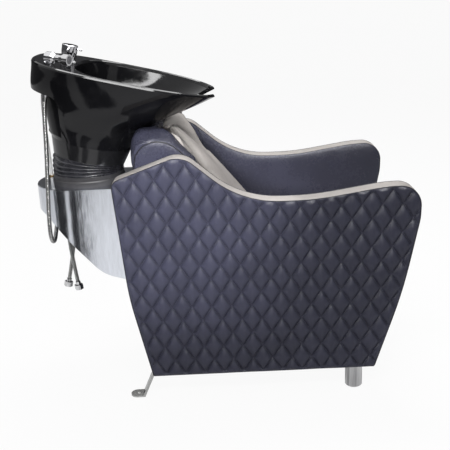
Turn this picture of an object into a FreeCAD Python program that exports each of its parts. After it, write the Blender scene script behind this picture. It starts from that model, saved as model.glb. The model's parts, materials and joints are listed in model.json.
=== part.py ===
import FreeCAD, Part
import math
import os
import Sketcher

# A salon shampoo chair. X runs to the front of the chair, Y to the sitter's left and Z up.
# The origin lies on the floor, midway between the two floor bolt holes of the rear feet.
# All lengths are millimetres and all angles degrees.

SIZES = {
    # The chair as a whole
    "chair_width": 620,
    "floor_gap": 84,
    "seat_gap": 0.3,
    "soft_gap": 1.2,
    "overrun": 40,
    # Arms: the outline is given by its corners before rounding
    "arm_length": 865,
    "arm_rise": 672,
    "arm_setback": 26,
    "arm_thickness": 65,
    "arm_pad": 13,
    "arm_inner_pad": 9.7,
    "arm_band": 5,
    "pad_edge": 5,
    "quilt_width": 63,
    "quilt_height": 89,
    "quilt_groove": 6,
    "quilt_depth": 2.6,
    "quilt_margin": 14,
    # Seat
    "seat_board_top": 348,
    "seat_board_thick": 18,
    "seat_front": 802,
    "seat_thick": 104,
    "seat_crown": 16,
    "seat_edge": 12,
    "board_rear": 250,
    "board_front": 750,
    # Back
    "back_top": 812,
    "back_foot_front": 394,
    "back_foot_rear": 289,
    "back_head_rear": 101,
    "back_head_front": 170,
    "back_shoulder_x": 222,
    "back_shoulder_z": 694,
    "back_shoulder_radius": 200,
    "back_head_radius": 45,
    "back_wing_half": 199.5,
    "back_wing_radius": 95,
    "back_edge": 16,
    "back_corner": 22,
    "back_board_thick": 15,
    "back_board_top": 660,
    "roll_bottom": 668,
    "roll_rear": 28,
    "roll_rear_top": 803,
    "roll_top": 815,
    "roll_top_x": 138,
    "roll_front_x": 212,
    "roll_front_z": 737,
    "roll_rear_radius": 42,
    "roll_top_radius": 60,
    "bowl_room": 9,
    "tongue_top_x": 145,
    "tongue_top_z": 774,
    "tongue_foot_x": 228,
    "tongue_foot_z": 682,
    "tongue_top_half": 30,
    "tongue_foot_half": 86,
    "tongue_flare": 14,
    # Covers
    "cover_thick": 12,
    "cover_bottom": 95,
    "cover_gap": 3.3,
    "apron_top": 346,
    "cover_edge": 3,
    # Frame of square tube
    "tube": 25,
    "tube_wall": 2,
    "frame_rear": 118,
    "frame_front": 680,
    "front_cross": 640,
    "upright_spread": 145,
    "upright_top": 620,
    "bowl_arm_rear": -230,
    "slot_gap": 2,
    # Front legs
    "leg_radius": 25.7,
    "leg_round": 3,
    "leg_x": 661,
    "leg_y": 255,
    "leg_plate": 70,
    "leg_plate_thick": 5,
    "leg_screw_radius": 3.2,
    "leg_screw_spacing": 50,
    # Rear feet of bent flat bar
    "foot_y": 260,
    "foot_width": 40,
    "foot_thick": 5,
    "foot_toe": 24,
    "foot_heel": 20,
    "foot_knee": 50,
    "foot_top_end": 112,
    "foot_hole": 5.5,
    # Steel shell
    "shell_radius": 135,
    "shell_wall": 1.5,
    "shell_x": -158,
    "shell_top": 620,
    "shell_low_x": 30,
    "shell_low_z": 314,
    "shell_knee_x": -95,
    "shell_knee_z": 352,
    "shell_heel_x": -262,
    "shell_heel_z": 545,
    "shell_back_z": 565,
    "shell_curve": 120,
    "plate_thick": 2,
    # Tilting neck: the pivot, the ring under it and the rubber bellows
    "neck_x": -131,
    "pivot_height": 672,
    "bowl_tilt": 13.6,
    "ring_radius": 109,
    "ring_bore": 92,
    "ring_height": 30,
    "ring_step": 3,
    "bellows_folds": 5,
    "bellows_fold_depth": 9,
    "bellows_wall": 2,
    "collar_bottom": 27,
    "collar_top": 76.7,
    "collar_wall": 5,
    "collar_bottom_radius": 111,
    "collar_top_radius": 124,
    "pin_radius": 6,
    "pin_head": 10,
    "pin_play": 0.05,
    "ear_thick": 5,
    "ear_width": 40,
    "cradle_ear_y": 50,
    "fork_ear_y": 58,
    "fork_base": 140,
    "fork_base_long": 104,
    "fork_base_thick": 5,
    "waste_room": 32,
    "cradle_plate": 96,
    "cradle_thick": 4,
    "tail_hole_x": -78,
    "tail_hole_radius": 19,
    # Bowl, in its own tilted frame about the pivot
    "bowl_rim": 299,
    "bowl_length": 561,
    "deck_bottom": 214,
    "bowl_foot": 77,
    "bowl_wall": 12,
    "basin_floor": 99,
    "neck_bore": 106,
    "neck_bore_top": 86,
    "drain_hole": 21,
    "rim_round": 7,
    "notch_radius": 80,
    "notch_depth": 88,
    "notch_start": 190,
    "rest_thick": 8,
    "rest_length": 44,
    "rest_lip": 17,
    "rest_sweep": 124,
    # Drain
    "strainer_radius": 32,
    "strainer_thick": 2.4,
    "strainer_hole": 3.2,
    "strainer_ring": 11,
    "tailpiece_radius": 20.7,
    "tailpiece_wall": 2,
    "tailpiece_bottom": 20,
    "tailpiece_flange": 30,
    "waste_hose_radius": 24,
    "waste_hose_wall": 2.6,
    "waste_pipe_bottom": 500,
    "waste_pipe_top": 566,
    "waste_pipe_flange": 30,
    "waste_pipe_radius": 21,
    "waste_pipe_wall": 3,
    "waste_spigot_radius": 20,
    "waste_spigot_length": 24,
    "waste_plate_z": 530,
    # Mixer
    "mixer_x": -105,
    "mixer_flange": 27,
    "mixer_flange_thick": 4,
    "mixer_radius": 20,
    "mixer_height": 31,
    "mixer_shank": 14,
    "mixer_shank_bottom": 258,
    "mixer_nut": 19,
    "mixer_nut_thick": 8,
    "deck_thick": 14,
    "cap_radius": 23.5,
    "cap_height": 20,
    "cap_round": 2.5,
    "lever_ball": 6,
    "lever_socket": 6.3,
    "lever_pin": 2,
    "lever_length": 37,
    "lever_tip": 3.4,
    "lever_tip_length": 8,
    "lever_slot": 2.6,
    "play": 0.4,
    # Shower holder and hand shower
    "holder_x": -138,
    "holder_y": -120,
    "holder_flange": 16,
    "holder_flange_thick": 3,
    "holder_stem": 10,
    "holder_height": 19,
    "socket_radius": 16,
    "socket_bore": 9.05,
    "socket_length": 22,
    "holder_tail": 9,
    "holder_tail_bottom": 204,
    "shower_yaw": -27,
    "shower_pitch": -6,
    "shower_shank": 9,
    "shower_shank_length": 19,
    "shower_neck": 11,
    "shower_head": 15.5,
    "shower_length": 56,
    "shower_face": 11.5,
    "shower_face_depth": 3,
    "jet_hole": 1.2,
    "jet_ring": 7,
    # Hoses
    "shower_hose": 14,
    "shower_hose_bore": 9,
    "outlet_hose": 10,
    "outlet_x": -262,
    "outlet_y": 60,
    "outlet_deck_x": -180,
    "supply_hose": 12,
    "tail_hose": 10,
    "supply_spread": 17,
    "shower_lead": 24,
    "outlet_lead": 40,
    "tail_lead": 30,
    "hose_bore_share": 0.6,
    "hose_bend_share": 0.45,
    "union_radius": 11,
    "union_height": 10,
    "union_flange": 13,
    "union_flange_thick": 2,
    "nut_across": 24,
    "nut_length": 26,
    "nut_thread": 9.3,
    "nut_thread_depth": 14,
    "nut_sleeve": 8,
    "nut_sleeve_length": 10,
}

doc = FreeCAD.newDocument("ShampooChair")
sheet = doc.addObject("Spreadsheet::Sheet", "Sizes")
for row, (alias, number) in enumerate(SIZES.items(), start=1):
    sheet.set(f"A{row}", alias)
    sheet.set(f"B{row}", str(number))
    sheet.setAlias(f"B{row}", alias)
doc.recompute()


class Size:
    """A size of the sheet, or a sum of such, with its number and its expression."""

    def __init__(self, value, text):
        self.value = float(value)
        self.text = text

    def __float__(self):
        return self.value

    def __add__(self, other):
        other = as_size(other)
        return Size(self.value + other.value, f"({self.text} + {other.text})")

    def __sub__(self, other):
        other = as_size(other)
        return Size(self.value - other.value, f"({self.text} - {other.text})")

    def __mul__(self, other):
        other = as_size(other)
        return Size(self.value * other.value, f"({self.text} * {other.text})")

    def __truediv__(self, other):
        other = as_size(other)
        return Size(self.value / other.value, f"({self.text} / {other.text})")

    def __neg__(self):
        return as_size(0) - self

    def __radd__(self, other):
        return as_size(other) + self

    def __rsub__(self, other):
        return as_size(other) - self

    def __rmul__(self, other):
        return as_size(other) * self


def as_size(thing):
    return thing if isinstance(thing, Size) else Size(thing, repr(float(thing)))


class Sizes:
    """Each alias of the sheet as an attribute."""

    def __getattr__(self, alias):
        return Size(SIZES[alias], f"Sizes.{alias}")


s = Sizes()
V = FreeCAD.Vector
UP = V(0, 0, 1)
ALONG = V(1, 0, 0)
ACROSS = V(0, 1, 0)
SIDES = {"left": 1, "right": -1}
pieces = []


def placed(x=0, y=0, z=0, axis=UP, angle=0):
    return FreeCAD.Placement(V(x, y, z), FreeCAD.Rotation(axis, float(angle)))


# The bowl and all that rides on it are drawn level about the pivot and stand in this frame.
bowl_frame = placed(s.neck_x, 0, s.pivot_height, ACROSS, s.bowl_tilt)


def keep(piece, label):
    piece.Label = label
    pieces.append(piece)
    return piece


def shaped(label, shape, place=None):
    """A sub-part whose solid is worked out with Part's own functions."""
    piece = keep(doc.addObject("Part::Feature", label), label)
    piece.Shape = shape
    if place is not None:
        piece.Placement = place
    return piece


def stand(piece, x=0, y=0, z=0):
    """Puts a sub-part at a place that follows the sheet."""
    for letter, size in zip("xyz", (x, y, z)):
        piece.setExpression(f"Placement.Base.{letter}", as_size(size).text)
    return piece


def body(label):
    return keep(doc.addObject("PartDesign::Body", label), label)


def sketch(owner, role, name, lift=0):
    """A sketch on one of its body's own origin planes, raised off it by lift."""
    drawn = owner.newObject("Sketcher::SketchObject", name)
    plane = [item for item in owner.Origin.OriginFeatures if item.Role == role][0]
    drawn.AttachmentSupport = [(plane, "")]
    drawn.MapMode = "FlatFace"
    drawn.setExpression("AttachmentOffset.Base.z", as_size(lift).text)
    return drawn


def pin_point(drawn, curve, end, x, y):
    for kind, axis, size in (("DistanceX", -2, as_size(x)), ("DistanceY", -1, as_size(y))):
        if size.value == 0:
            drawn.addConstraint(Sketcher.Constraint("PointOnObject", curve, end, axis))
            continue
        index = drawn.addConstraint(Sketcher.Constraint(kind, -1, 1, curve, end, size.value))
        drawn.setExpression(f"Constraints[{index}]", size.text)


def outline(drawn, corners):
    """A closed outline of straight lines through corners bound to the sheet."""
    first = drawn.GeometryCount
    count = len(corners)
    for index, (x, y) in enumerate(corners):
        after = corners[(index + 1) % count]
        drawn.addGeometry(Part.LineSegment(V(x, y, 0), V(after[0], after[1], 0)))
    for index, (x, y) in enumerate(corners):
        before = first + (index - 1) % count
        drawn.addConstraint(Sketcher.Constraint("Coincident", before, 2, first + index, 1))
        pin_point(drawn, first + index, 1, x, y)


def circle(drawn, x, y, radius):
    index = drawn.addGeometry(Part.Circle(V(x, y, 0), UP, float(radius)))
    pin_point(drawn, index, 3, x, y)
    bound = drawn.addConstraint(Sketcher.Constraint("Radius", index, float(radius)))
    drawn.setExpression(f"Constraints[{bound}]", as_size(radius).text)


def box_outline(drawn, x, y, wide, high):
    half, tall = wide / 2, high / 2
    outline(drawn, [(x - half, y - tall), (x + half, y - tall), (x + half, y + tall), (x - half, y + tall)])


def pad(owner, drawn, length, middle=False, back=False):
    made = owner.newObject("PartDesign::Pad", "Pad")
    made.Profile = drawn
    made.setExpression("Length", as_size(length).text)
    made.Midplane = middle
    made.Reversed = back
    drawn.Visibility = False
    return made


def pocket(owner, drawn, length, middle=False, back=False):
    made = owner.newObject("PartDesign::Pocket", "Pocket")
    made.Profile = drawn
    made.setExpression("Length", as_size(length).text)
    made.Midplane = middle
    made.Reversed = back
    return made


def turned(label, corners):
    """A body turned about its own upright axis from corners given as radius and height."""
    owner = body(label)
    drawn = sketch(owner, "XZ_Plane", f"{label}_profile")
    outline(drawn, corners)
    made = owner.newObject("PartDesign::Revolution", "Revolution")
    made.Profile = drawn
    made.ReferenceAxis = (drawn, ["V_Axis"])
    made.Angle = 360
    return owner


def ringed(owner, feature, count):
    """Repeats a feature about the upright axis."""
    made = owner.newObject("PartDesign::PolarPattern", "Ring")
    made.Originals = [feature]
    axis = [item for item in owner.Origin.OriginFeatures if item.Role == "Z_Axis"][0]
    made.Axis = (axis, [""])
    made.Angle = 360
    made.Occurrences = count
    owner.Tip = made
    return made


def rounded_wire(corners):
    """A closed wire of straight runs joined by tangent arcs, from (point, radius) pairs."""
    count = len(corners)
    arcs = []
    for index, (here, radius) in enumerate(corners):
        inward = (corners[index - 1][0] - here).normalize()
        outward = (corners[(index + 1) % count][0] - here).normalize()
        half_turn = (math.pi - inward.getAngle(outward)) / 2
        reach = float(radius) * math.tan(half_turn)
        middle = (inward + outward).normalize() * (float(radius) / math.cos(half_turn) - float(radius))
        arcs.append((here + inward * reach, here + middle, here + outward * reach))
    edges = []
    for index, (first, middle, last) in enumerate(arcs):
        if first.distanceToPoint(last) > 0:
            edges.append(Part.Arc(first, middle, last).toShape())
        edges.append(Part.LineSegment(last, arcs[(index + 1) % count][0]).toShape())
    return Part.Wire(edges)


def side_wire(corners):
    """A rounded outline in the side view, from (x, z, radius) triples."""
    return rounded_wire([(V(x, 0, z), radius) for x, z, radius in corners])


def slab(wire, low_y, high_y):
    """A side view outline made solid between two places across the chair."""
    solid = Part.Face(wire).extrude(ACROSS * (float(high_y) - float(low_y)))
    solid.translate(V(0, low_y, 0))
    return solid


def block(x0, x1, y0, y1, z0, z1):
    low = V(x0, y0, z0)
    size = V(x1, y1, z1) - low
    return Part.makeBox(size.x, size.y, size.z, low)


def flipped(shape, side):
    """The shape as it is on the left, mirrored across the chair on the right."""
    return shape if side > 0 else shape.mirror(V(0, 0, 0), ACROSS)


def tube(radius, bore, base, direction, length):
    outer = Part.makeCylinder(radius, length, base, direction)
    return outer.cut(Part.makeCylinder(bore, length, base, direction))


half_width = s.chair_width / 2
inner_half = half_width - s.arm_thickness
core_inner = inner_half + s.arm_inner_pad + s.seat_gap
core_outer = half_width - s.arm_pad - s.seat_gap

# Arm outline corners, before rounding, as shares of the arm's length and rise,
# with each corner's radius as a share of the length.
arm_shares = [
    (0.0913, 0.0, 0.0),
    (0.0301, 0.381, 1.04),
    (0.0, 0.897, 0.0324),
    (0.230, 1.0, 0.0809),
    (0.4197, 0.7894, 0.335),
    (0.6509, 0.7857, 0.925),
    (0.882, 0.8289, 0.462),
    (1.0, 0.8318, 0.0694),
    (0.9977, 0.686, 0.173),
    (0.9457, 0.3542, 1.73),
    (0.8555, 0.0, 0.0),
]


def arm_point(share):
    x = float(s.arm_length) * share[0] - float(s.arm_setback)
    return V(x, 0, float(s.floor_gap) + float(s.arm_rise) * share[1])


def arm_wire(inset=0.0):
    """The arm's side outline, drawn in by inset, and run on below its bottom edge."""
    points = [arm_point(share) for share in arm_shares]
    for end, beside in ((0, 1), (-1, -2)):
        drop = points[end] - points[beside]
        points[end] = points[end] + drop * (float(s.overrun) / abs(drop.z))
    radii = [float(s.arm_length) * share[2] for share in arm_shares]
    wire = rounded_wire(list(zip(points, radii)))
    return wire.makeOffset2D(-float(inset)) if float(inset) else wire


def arm_edge_x(z, front):
    """Where the arm's straight lower front or rear edge is at a height."""
    low, high = (arm_point(arm_shares[i]) for i in ((-1, -2) if front else (0, 1)))
    return low.x + (high.x - low.x) * (float(z) - low.z) / (high.z - low.z)


# The rear cover stands behind the frame and the apron in front of it, both as steep as the arms' edges
cover_shift = float(s.frame_rear - s.cover_gap - s.cover_thick) - arm_edge_x(s.cover_bottom, False)
apron_shift = float(s.frame_front + s.seat_gap + s.cover_thick) - arm_edge_x(s.cover_bottom, True)


everywhere = float(s.arm_length) * 2


def above(shape, z):
    """What of a shape lies above a height."""
    return shape.common(block(-everywhere, everywhere, -everywhere, everywhere, z, everywhere))


def below(shape, z):
    """What of a shape lies below a height."""
    return shape.common(block(-everywhere, everywhere, -everywhere, everywhere, -everywhere, z))


def arm_slab(inset, low_y, high_y, bottom):
    return above(slab(arm_wire(inset), low_y, high_y), bottom)


def quilt_cutters(face_y):
    """Grooves of a diamond stitch pattern, as bars with a V section, on the face at face_y."""
    wide, high = float(s.quilt_width), float(s.quilt_height)
    half, depth = float(s.quilt_groove) / 2, float(s.quilt_depth)
    middle = arm_point((0.5, 0.5))
    columns = math.ceil(float(s.arm_length) / wide)
    bars = []
    for lean in (1, -1):
        along = V(lean * wide, 0, high).normalize()
        aside = along.cross(ACROSS)
        for step in range(-columns, columns + 1):
            start = middle + V(step * wide, 0, 0) - along * (everywhere / 2)
            start.y = float(face_y)
            corners = [start + aside * half, start - ACROSS * depth, start - aside * half]
            top = start + ACROSS * depth
            section = Part.makePolygon([corners[0], corners[1], corners[2], top, corners[0]])
            bars.append(Part.Face(section).extrude(along * everywhere))
    return bars


def side_panel():
    """The padded, diamond quilted outer panel of an arm."""
    inset = s.arm_band + s.seat_gap
    pad_solid = arm_slab(inset, half_width - s.arm_pad, half_width, s.floor_gap)
    rim = [edge for edge in pad_solid.Edges if edge.BoundBox.YMin > float(half_width) - float(s.seat_gap)]
    pad_solid = pad_solid.makeFillet(float(s.pad_edge), rim)
    quilt_low = s.floor_gap + s.quilt_margin
    field = arm_slab(inset + s.quilt_margin, core_inner, half_width + s.arm_pad, quilt_low)
    reached = field.BoundBox
    bars = [bar for bar in quilt_cutters(half_width) if bar.BoundBox.intersect(reached)]
    grooves = [bar.common(field) for bar in bars]
    return pad_solid.cut([groove for groove in grooves if groove.Volume > 0])


def arm_band():
    """The leather band over the rear, top and front edges of an arm."""
    low_y, high_y = inner_half, half_width - s.seat_gap
    band = arm_slab(0, low_y, high_y, s.floor_gap)
    return band.cut(arm_slab(s.arm_band, low_y - s.overrun, high_y + s.overrun, s.floor_gap))


def arm_core():
    return arm_slab(s.arm_band + s.seat_gap, core_inner, core_outer, s.floor_gap)


def arm_inner():
    low = s.seat_board_top + s.seat_gap
    inner = arm_slab(s.arm_band + s.seat_gap, inner_half, inner_half + s.arm_inner_pad, low)
    rim = [edge for edge in inner.Edges if edge.BoundBox.YMax < float(inner_half) + float(s.seat_gap)]
    return inner.makeFillet(float(s.pad_edge), rim)


for build, label in ((side_panel, "side_panel"), (arm_band, "arm_band"), (arm_core, "arm_core"),
                     (arm_inner, "arm_inner")):
    one_arm = build()
    for name, side in SIDES.items():
        shaped(f"{label}_{name}", flipped(one_arm, side))


# Seat: a plywood board between the arm cores and a cushion on it
seat_board = body("seat_board")
board_sketch = sketch(seat_board, "XY_Plane", "seat_board_plan", s.seat_board_top - s.seat_board_thick)
board_middle, board_long = (s.board_rear + s.board_front) / 2, s.board_front - s.board_rear
box_outline(board_sketch, board_middle, 0, board_long, core_inner * 2)
pad(seat_board, board_sketch, s.seat_board_thick)

seat_low = s.seat_board_top + s.seat_gap
seat_side = inner_half - s.soft_gap
board_side = inner_half - s.seat_gap
seat_high = seat_low + s.seat_thick + s.seat_crown

# The back leans by the slope of its front face, and the board behind it and the seat's rear too
back_foot_z = seat_high + s.soft_gap
lean = V(s.back_shoulder_x - s.back_foot_front, 0, s.back_shoulder_z - back_foot_z).normalize()
behind = V(-lean.z, 0, lean.x)
back_foot = V(s.back_foot_rear, 0, back_foot_z)


def up_the_back(start, z):
    """The point at height z on the line that leaves start and leans with the back."""
    return start + lean * ((float(z) - start.z) / lean.z)


def seat_cushion():
    """Crowned both ways: a side view profile cut by a cross section with an arched top."""
    rear_low = up_the_back(back_foot, seat_low).x + float(s.soft_gap)
    rear_high = up_the_back(back_foot, seat_high - s.seat_crown / 2).x + float(s.soft_gap)
    middle = (rear_low + float(s.seat_front)) / 2
    side_view = [
        (rear_low, seat_low, s.seat_edge),
        (rear_high, seat_high - s.seat_crown / 2, s.seat_edge),
        (middle, seat_high, middle),
        (s.seat_front, seat_high - s.seat_crown, s.seat_thick * 0.4),
        (s.seat_front - s.seat_crown, seat_low, s.seat_edge),
    ]
    body_solid = slab(side_wire(side_view), -seat_side, seat_side)
    low, high = seat_high - s.seat_crown * 2, seat_high
    arch = Part.Arc(V(0, -seat_side, low), V(0, 0, high), V(0, seat_side, low)).toShape()
    base = seat_low - s.seat_gap
    corners = [(seat_side, low), (seat_side, base), (-seat_side, base), (-seat_side, low)]
    foot = Part.makePolygon([V(0, y, z) for y, z in corners])
    section = Part.Face(Part.Wire([arch] + foot.Edges))
    return body_solid.common(section.extrude(V(everywhere, 0, 0)))


seat_solid = seat_cushion()
shaped("seat_cushion", seat_solid)


def back_profile():
    head = up_the_back(back_foot, s.roll_bottom + s.seat_thick * 0.2)
    low_z = seat_high - s.seat_thick / 2
    low_rear = up_the_back(back_foot, low_z)
    low_front = up_the_back(V(s.back_foot_front, 0, back_foot_z), low_z)
    return side_wire([
        (low_rear.x, low_z, s.back_corner),
        (low_front.x, low_z, s.back_corner),
        (s.back_shoulder_x, s.back_shoulder_z, s.back_shoulder_radius),
        (s.back_head_front, s.back_top, s.back_head_radius),
        (s.back_head_rear, s.back_top - s.seat_crown, s.back_corner),
        (head.x, head.z, s.back_corner),
    ])


def head_plan(gap=0.0):
    """The plan outline of the cushion's head, with its round rear corners."""
    half = float(s.back_wing_half) + gap
    rear = float(s.back_head_rear) - gap
    front = float(s.back_foot_front)
    corners = [(V(rear, half, 0), s.back_wing_radius), (V(rear, -half, 0), s.back_wing_radius),
               (V(front, -half, 0), 0), (V(front, half, 0), 0)]
    return Part.Face(rounded_wire(corners)).extrude(UP * everywhere)


def softened_slab(wire, half, radius):
    """A side view slab whose long edges on both sides are rounded."""
    solid = slab(wire, -half, half)
    rim = [edge for edge in solid.Edges if edge.BoundBox.YLength < float(s.seat_gap)]
    return solid.makeFillet(float(radius), rim)


def egg(level, rear, front, half, widest, rear_power, front_power, grow=0.0):
    """A closed smooth plan outline at a level: a squarish oval, each end with its own power."""
    count = 36
    points = []
    for step in range(count):
        angle = 2 * math.pi * step / count
        east, north = math.cos(angle), math.sin(angle)
        reach = front - widest + grow if east >= 0 else widest - rear + grow
        power = front_power if east >= 0 else rear_power
        x = widest + math.copysign(reach * abs(east) ** (2 / power), east)
        y = math.copysign((half + grow) * abs(north) ** (2 / front_power), north)
        points.append(V(x, y, level))
    curve = Part.BSplineCurve()
    curve.interpolate(points, PeriodicFlag=True)
    return Part.Wire(curve.toShape())


# Outlines of the bowl, each with its level, rear, front, half width and widest place, then the
# powers of its two ends. Levels are shares of the height from the foot to the rim, or for the
# basin from its floor to the rim, and the rest are shares of the bowl's length.
rim = float(s.bowl_rim)
rim_row = (1.0, -0.3672, 0.6326, 0.371, 0.1498, 3.2, 2.5)
outside_shares = [
    (0.8424, -0.3635, 0.5671, 0.3603, 0.1354, 3.2, 2.4),
    (0.5852, -0.3528, 0.4189, 0.3209, 0.089, 3.2, 2.3),
    (0.4411, -0.3352, 0.3384, 0.2921, 0.0533, 3.0, 2.2),
    (0.2794, -0.3065, 0.2676, 0.2548, 0.0176, 2.8, 2.1),
    (0.1259, -0.2622, 0.2372, 0.2297, 0.0, 2.4, 2.0),
    (0.0, -0.221, 0.221, 0.221, 0.0, 2.0, 2.0),
]
basin_row = (1.0, -0.1322, 0.6113, 0.3496, 0.1498, 3.0, 2.5)
basin_shares = [
    (1.1047, -0.1322, 0.6556, 0.3678, 0.1498, 3.0, 2.5),
    basin_row,
    (0.5993, -0.1247, 0.4157, 0.3065, 0.1173, 2.6, 2.4),
    (0.2495, -0.1103, 0.2212, 0.2185, 0.048, 2.4, 2.2),
    (0.0806, -0.0906, 0.1546, 0.1546, 0.016, 2.2, 2.2),
    (0.0, -0.064, 0.0906, 0.0906, 0.0, 2.0, 2.0),
]
# The narrower column behind the overhang, its levels from the overhang's foot to the deck's underside.
column_shares = [
    (1.1538, -0.3278, 0.1066, 0.1812, -0.0357, 2.3, 2.3),
    (0.0, -0.2308, 0.1066, 0.2132, -0.0176, 2.3, 2.3),
]
# The overhang's corners in the side view, as shares of the bowl's length, under the deck and at the foot.
overhang_top_share, overhang_foot_share, overhang_round_share = -0.1706, -0.1386, 0.0586
overhang_low = float(s.bowl_foot + s.bowl_wall)


def egg_at(row, drop=0.0, grow=0.0, low=None, high=None):
    """One outline of the bowl, its level between low and high, which start as its foot and rim."""
    low = float(s.bowl_foot) if low is None else float(low)
    high = rim if high is None else float(high)
    rear, front, half, widest = [share * float(s.bowl_length) for share in row[1:5]]
    return egg(low + (high - low) * row[0] - drop, rear, front, half, widest, row[5], row[6], grow)


def front_at(level):
    """How far forward the bowl's outside reaches at a level."""
    rows = [rim_row] + outside_shares
    share = (float(level) - float(s.bowl_foot)) / (rim - float(s.bowl_foot))
    for above_row, below_row in zip(rows, rows[1:]):
        if share >= below_row[0]:
            part = (share - below_row[0]) / (above_row[0] - below_row[0])
            return (below_row[2] + (above_row[2] - below_row[2]) * part) * float(s.bowl_length)
    return rows[-1][2] * float(s.bowl_length)


def bowl_form(grow=0.0):
    """The bowl's outside, squarish at the deck and round at the neck, with a rounded rim."""
    round_off = float(s.rim_round)
    shoulder = egg_at(rim_row, round_off, grow)
    main = Part.makeLoft([shoulder] + [egg_at(row, 0.0, grow) for row in outside_shares], True)
    eased = egg_at(rim_row, round_off * 0.35, grow - round_off * 0.24)
    edge = Part.makeLoft([shoulder, eased, egg_at(rim_row, 0.0, grow - round_off * 0.8)], True, True)
    return main.fuse(edge)


# The middle of the notch's round bottom, where the neck rest starts
notch_low = s.bowl_rim - s.notch_depth
rest_centre = V(front_at(notch_low) + s.rest_lip - s.rest_length, 0, notch_low + s.notch_radius)


def bowl_room():
    """The space that the back leaves for the bowl, clear of it all round."""
    room = bowl_form(float(s.bowl_room))
    neck = Part.makeCylinder(s.collar_top_radius + s.bowl_room, s.bowl_foot, V(0, 0, 0), UP)
    rest = Part.makeCylinder(s.notch_radius + s.bowl_room, s.rest_length + s.bowl_room * 2,
                             rest_centre - ALONG * float(s.bowl_room), ALONG)
    room = room.fuse([neck, rest])
    room.Placement = bowl_frame
    return room


def tongue_cutter():
    """The channel down the middle of the back's head, narrow above and wide at its foot."""
    top = V(s.tongue_top_x, 0, s.tongue_top_z)
    foot = V(s.tongue_foot_x, 0, s.tongue_foot_z)
    slope = (top - foot).normalize()
    outward = V(slope.z, 0, -slope.x)
    start = top + slope * float(s.overrun)
    widths = (float(s.tongue_top_half), float(s.tongue_foot_half))
    narrower = (widths[1] - widths[0]) / (top - foot).Length
    sections = []
    for point, half in ((foot, widths[1]), (start, widths[0] - narrower * float(s.overrun) * 0.3)):
        tall = outward * float(s.overrun)
        wide = half + float(s.tongue_flare)
        corners = [point - ACROSS * half, point + ACROSS * half,
                   point + ACROSS * wide + tall, point - ACROSS * wide + tall]
        sections.append(Part.makePolygon(corners + corners[:1]))
    return Part.makeLoft(sections, True, True)


def back_cushion():
    wire = back_profile()
    cut_z = s.roll_bottom - s.seat_gap
    head = above(softened_slab(wire, s.back_wing_half, s.back_edge), cut_z).common(head_plan())
    lower = below(softened_slab(wire, seat_side, s.back_edge), cut_z)
    whole = head.fuse(lower).removeSplitter()
    raised, pushed = seat_solid.copy(), seat_solid.copy()
    raised.translate(UP * float(s.soft_gap))
    pushed.translate(ALONG * -float(s.soft_gap))
    return whole.cut([tongue_cutter(), bowl_room(), raised, pushed])


def back_roll():
    """The roll across the top of the back, with a D end each side of the cushion's head."""
    front_foot = up_the_back(V(s.back_foot_front, 0, back_foot_z), s.roll_bottom)
    wire = side_wire([
        (s.roll_rear, s.roll_bottom, s.back_corner),
        (s.roll_rear, s.roll_rear_top, s.roll_rear_radius),
        (s.roll_top_x, s.roll_top, s.roll_top_radius),
        (s.roll_front_x, s.roll_front_z, s.back_corner),
        (front_foot.x, s.roll_bottom, s.back_corner),
    ])
    return softened_slab(wire, seat_side, s.back_edge).cut([head_plan(float(s.seat_gap)), bowl_room()])


shaped("back_cushion", back_cushion())
shaped("back_roll", back_roll())


def back_board():
    """The plywood board behind the back cushion, standing on the seat board."""
    front = back_foot + behind * float(s.seat_gap)
    rear = front + behind * float(s.back_board_thick)
    foot_z = s.seat_board_top + s.seat_gap
    corners = [up_the_back(front, foot_z), up_the_back(front, s.back_board_top),
               up_the_back(rear, s.back_board_top), up_the_back(rear, foot_z)]
    return slab(Part.makePolygon(corners + corners[:1]), -board_side, board_side)


shaped("back_board", back_board())


def rear_cover_x(z):
    """The rear face of the rear cover at a height, inside the arms' rear edges."""
    bend = arm_point(arm_shares[1])
    top = arm_point(arm_shares[2])
    if float(z) <= bend.z:
        return arm_edge_x(z, False) + cover_shift
    return bend.x + (top.x - bend.x) * (float(z) - bend.z) / (top.z - bend.z) + cover_shift


def bowl_arm_y(side):
    return (s.upright_spread / 2) * side


def rear_cover():
    """The upholstered panel that closes the back between the arms, open for the bowl arms."""
    bend_z = arm_point(arm_shares[1]).z
    levels = [s.cover_bottom, bend_z, s.roll_bottom - s.seat_gap]
    rear = [V(rear_cover_x(z), 0, z) for z in levels]
    front = [point + ALONG * float(s.cover_thick) for point in reversed(rear)]
    panel = slab(Part.makePolygon(rear + front + rear[:1]), -board_side, board_side)
    for side in SIDES.values():
        half = s.tube / 2 + s.slot_gap
        y = bowl_arm_y(side)
        low = s.upright_top - s.tube - s.slot_gap
        panel = panel.cut(block(0, s.frame_rear, y - half, y + half, low, s.upright_top + s.slot_gap))
    return panel


def front_apron():
    levels = (s.cover_bottom, s.apron_top)
    front = [V(arm_edge_x(z, True) + apron_shift, 0, z) for z in levels]
    rear = [point - ALONG * float(s.cover_thick) for point in reversed(front)]
    apron_half = core_inner - s.seat_gap
    panel = slab(Part.makePolygon(front + rear + front[:1]), -apron_half, apron_half)
    crosswise = [edge.BoundBox.YLength > float(s.tube) for edge in panel.Edges]
    at_front = [edge.BoundBox.XMin > front[0].x - float(s.seat_gap) for edge in panel.Edges]
    leading = [edge for edge, *fits in zip(panel.Edges, crosswise, at_front) if all(fits)]
    return panel.makeFillet(float(s.cover_edge), leading)


shaped("rear_cover", rear_cover())
shaped("front_apron", front_apron())


def square_tube(label, role, length, x, y, z):
    """A length of square tube drawn on one origin plane, with its first end at x, y, z."""
    owner = body(label)
    drawn = sketch(owner, role, f"{label}_section")
    box_outline(drawn, 0, 0, s.tube, s.tube)
    box_outline(drawn, 0, 0, s.tube - s.tube_wall * 2, s.tube - s.tube_wall * 2)
    pad(owner, drawn, length)
    return stand(owner, x, y, z)


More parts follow.
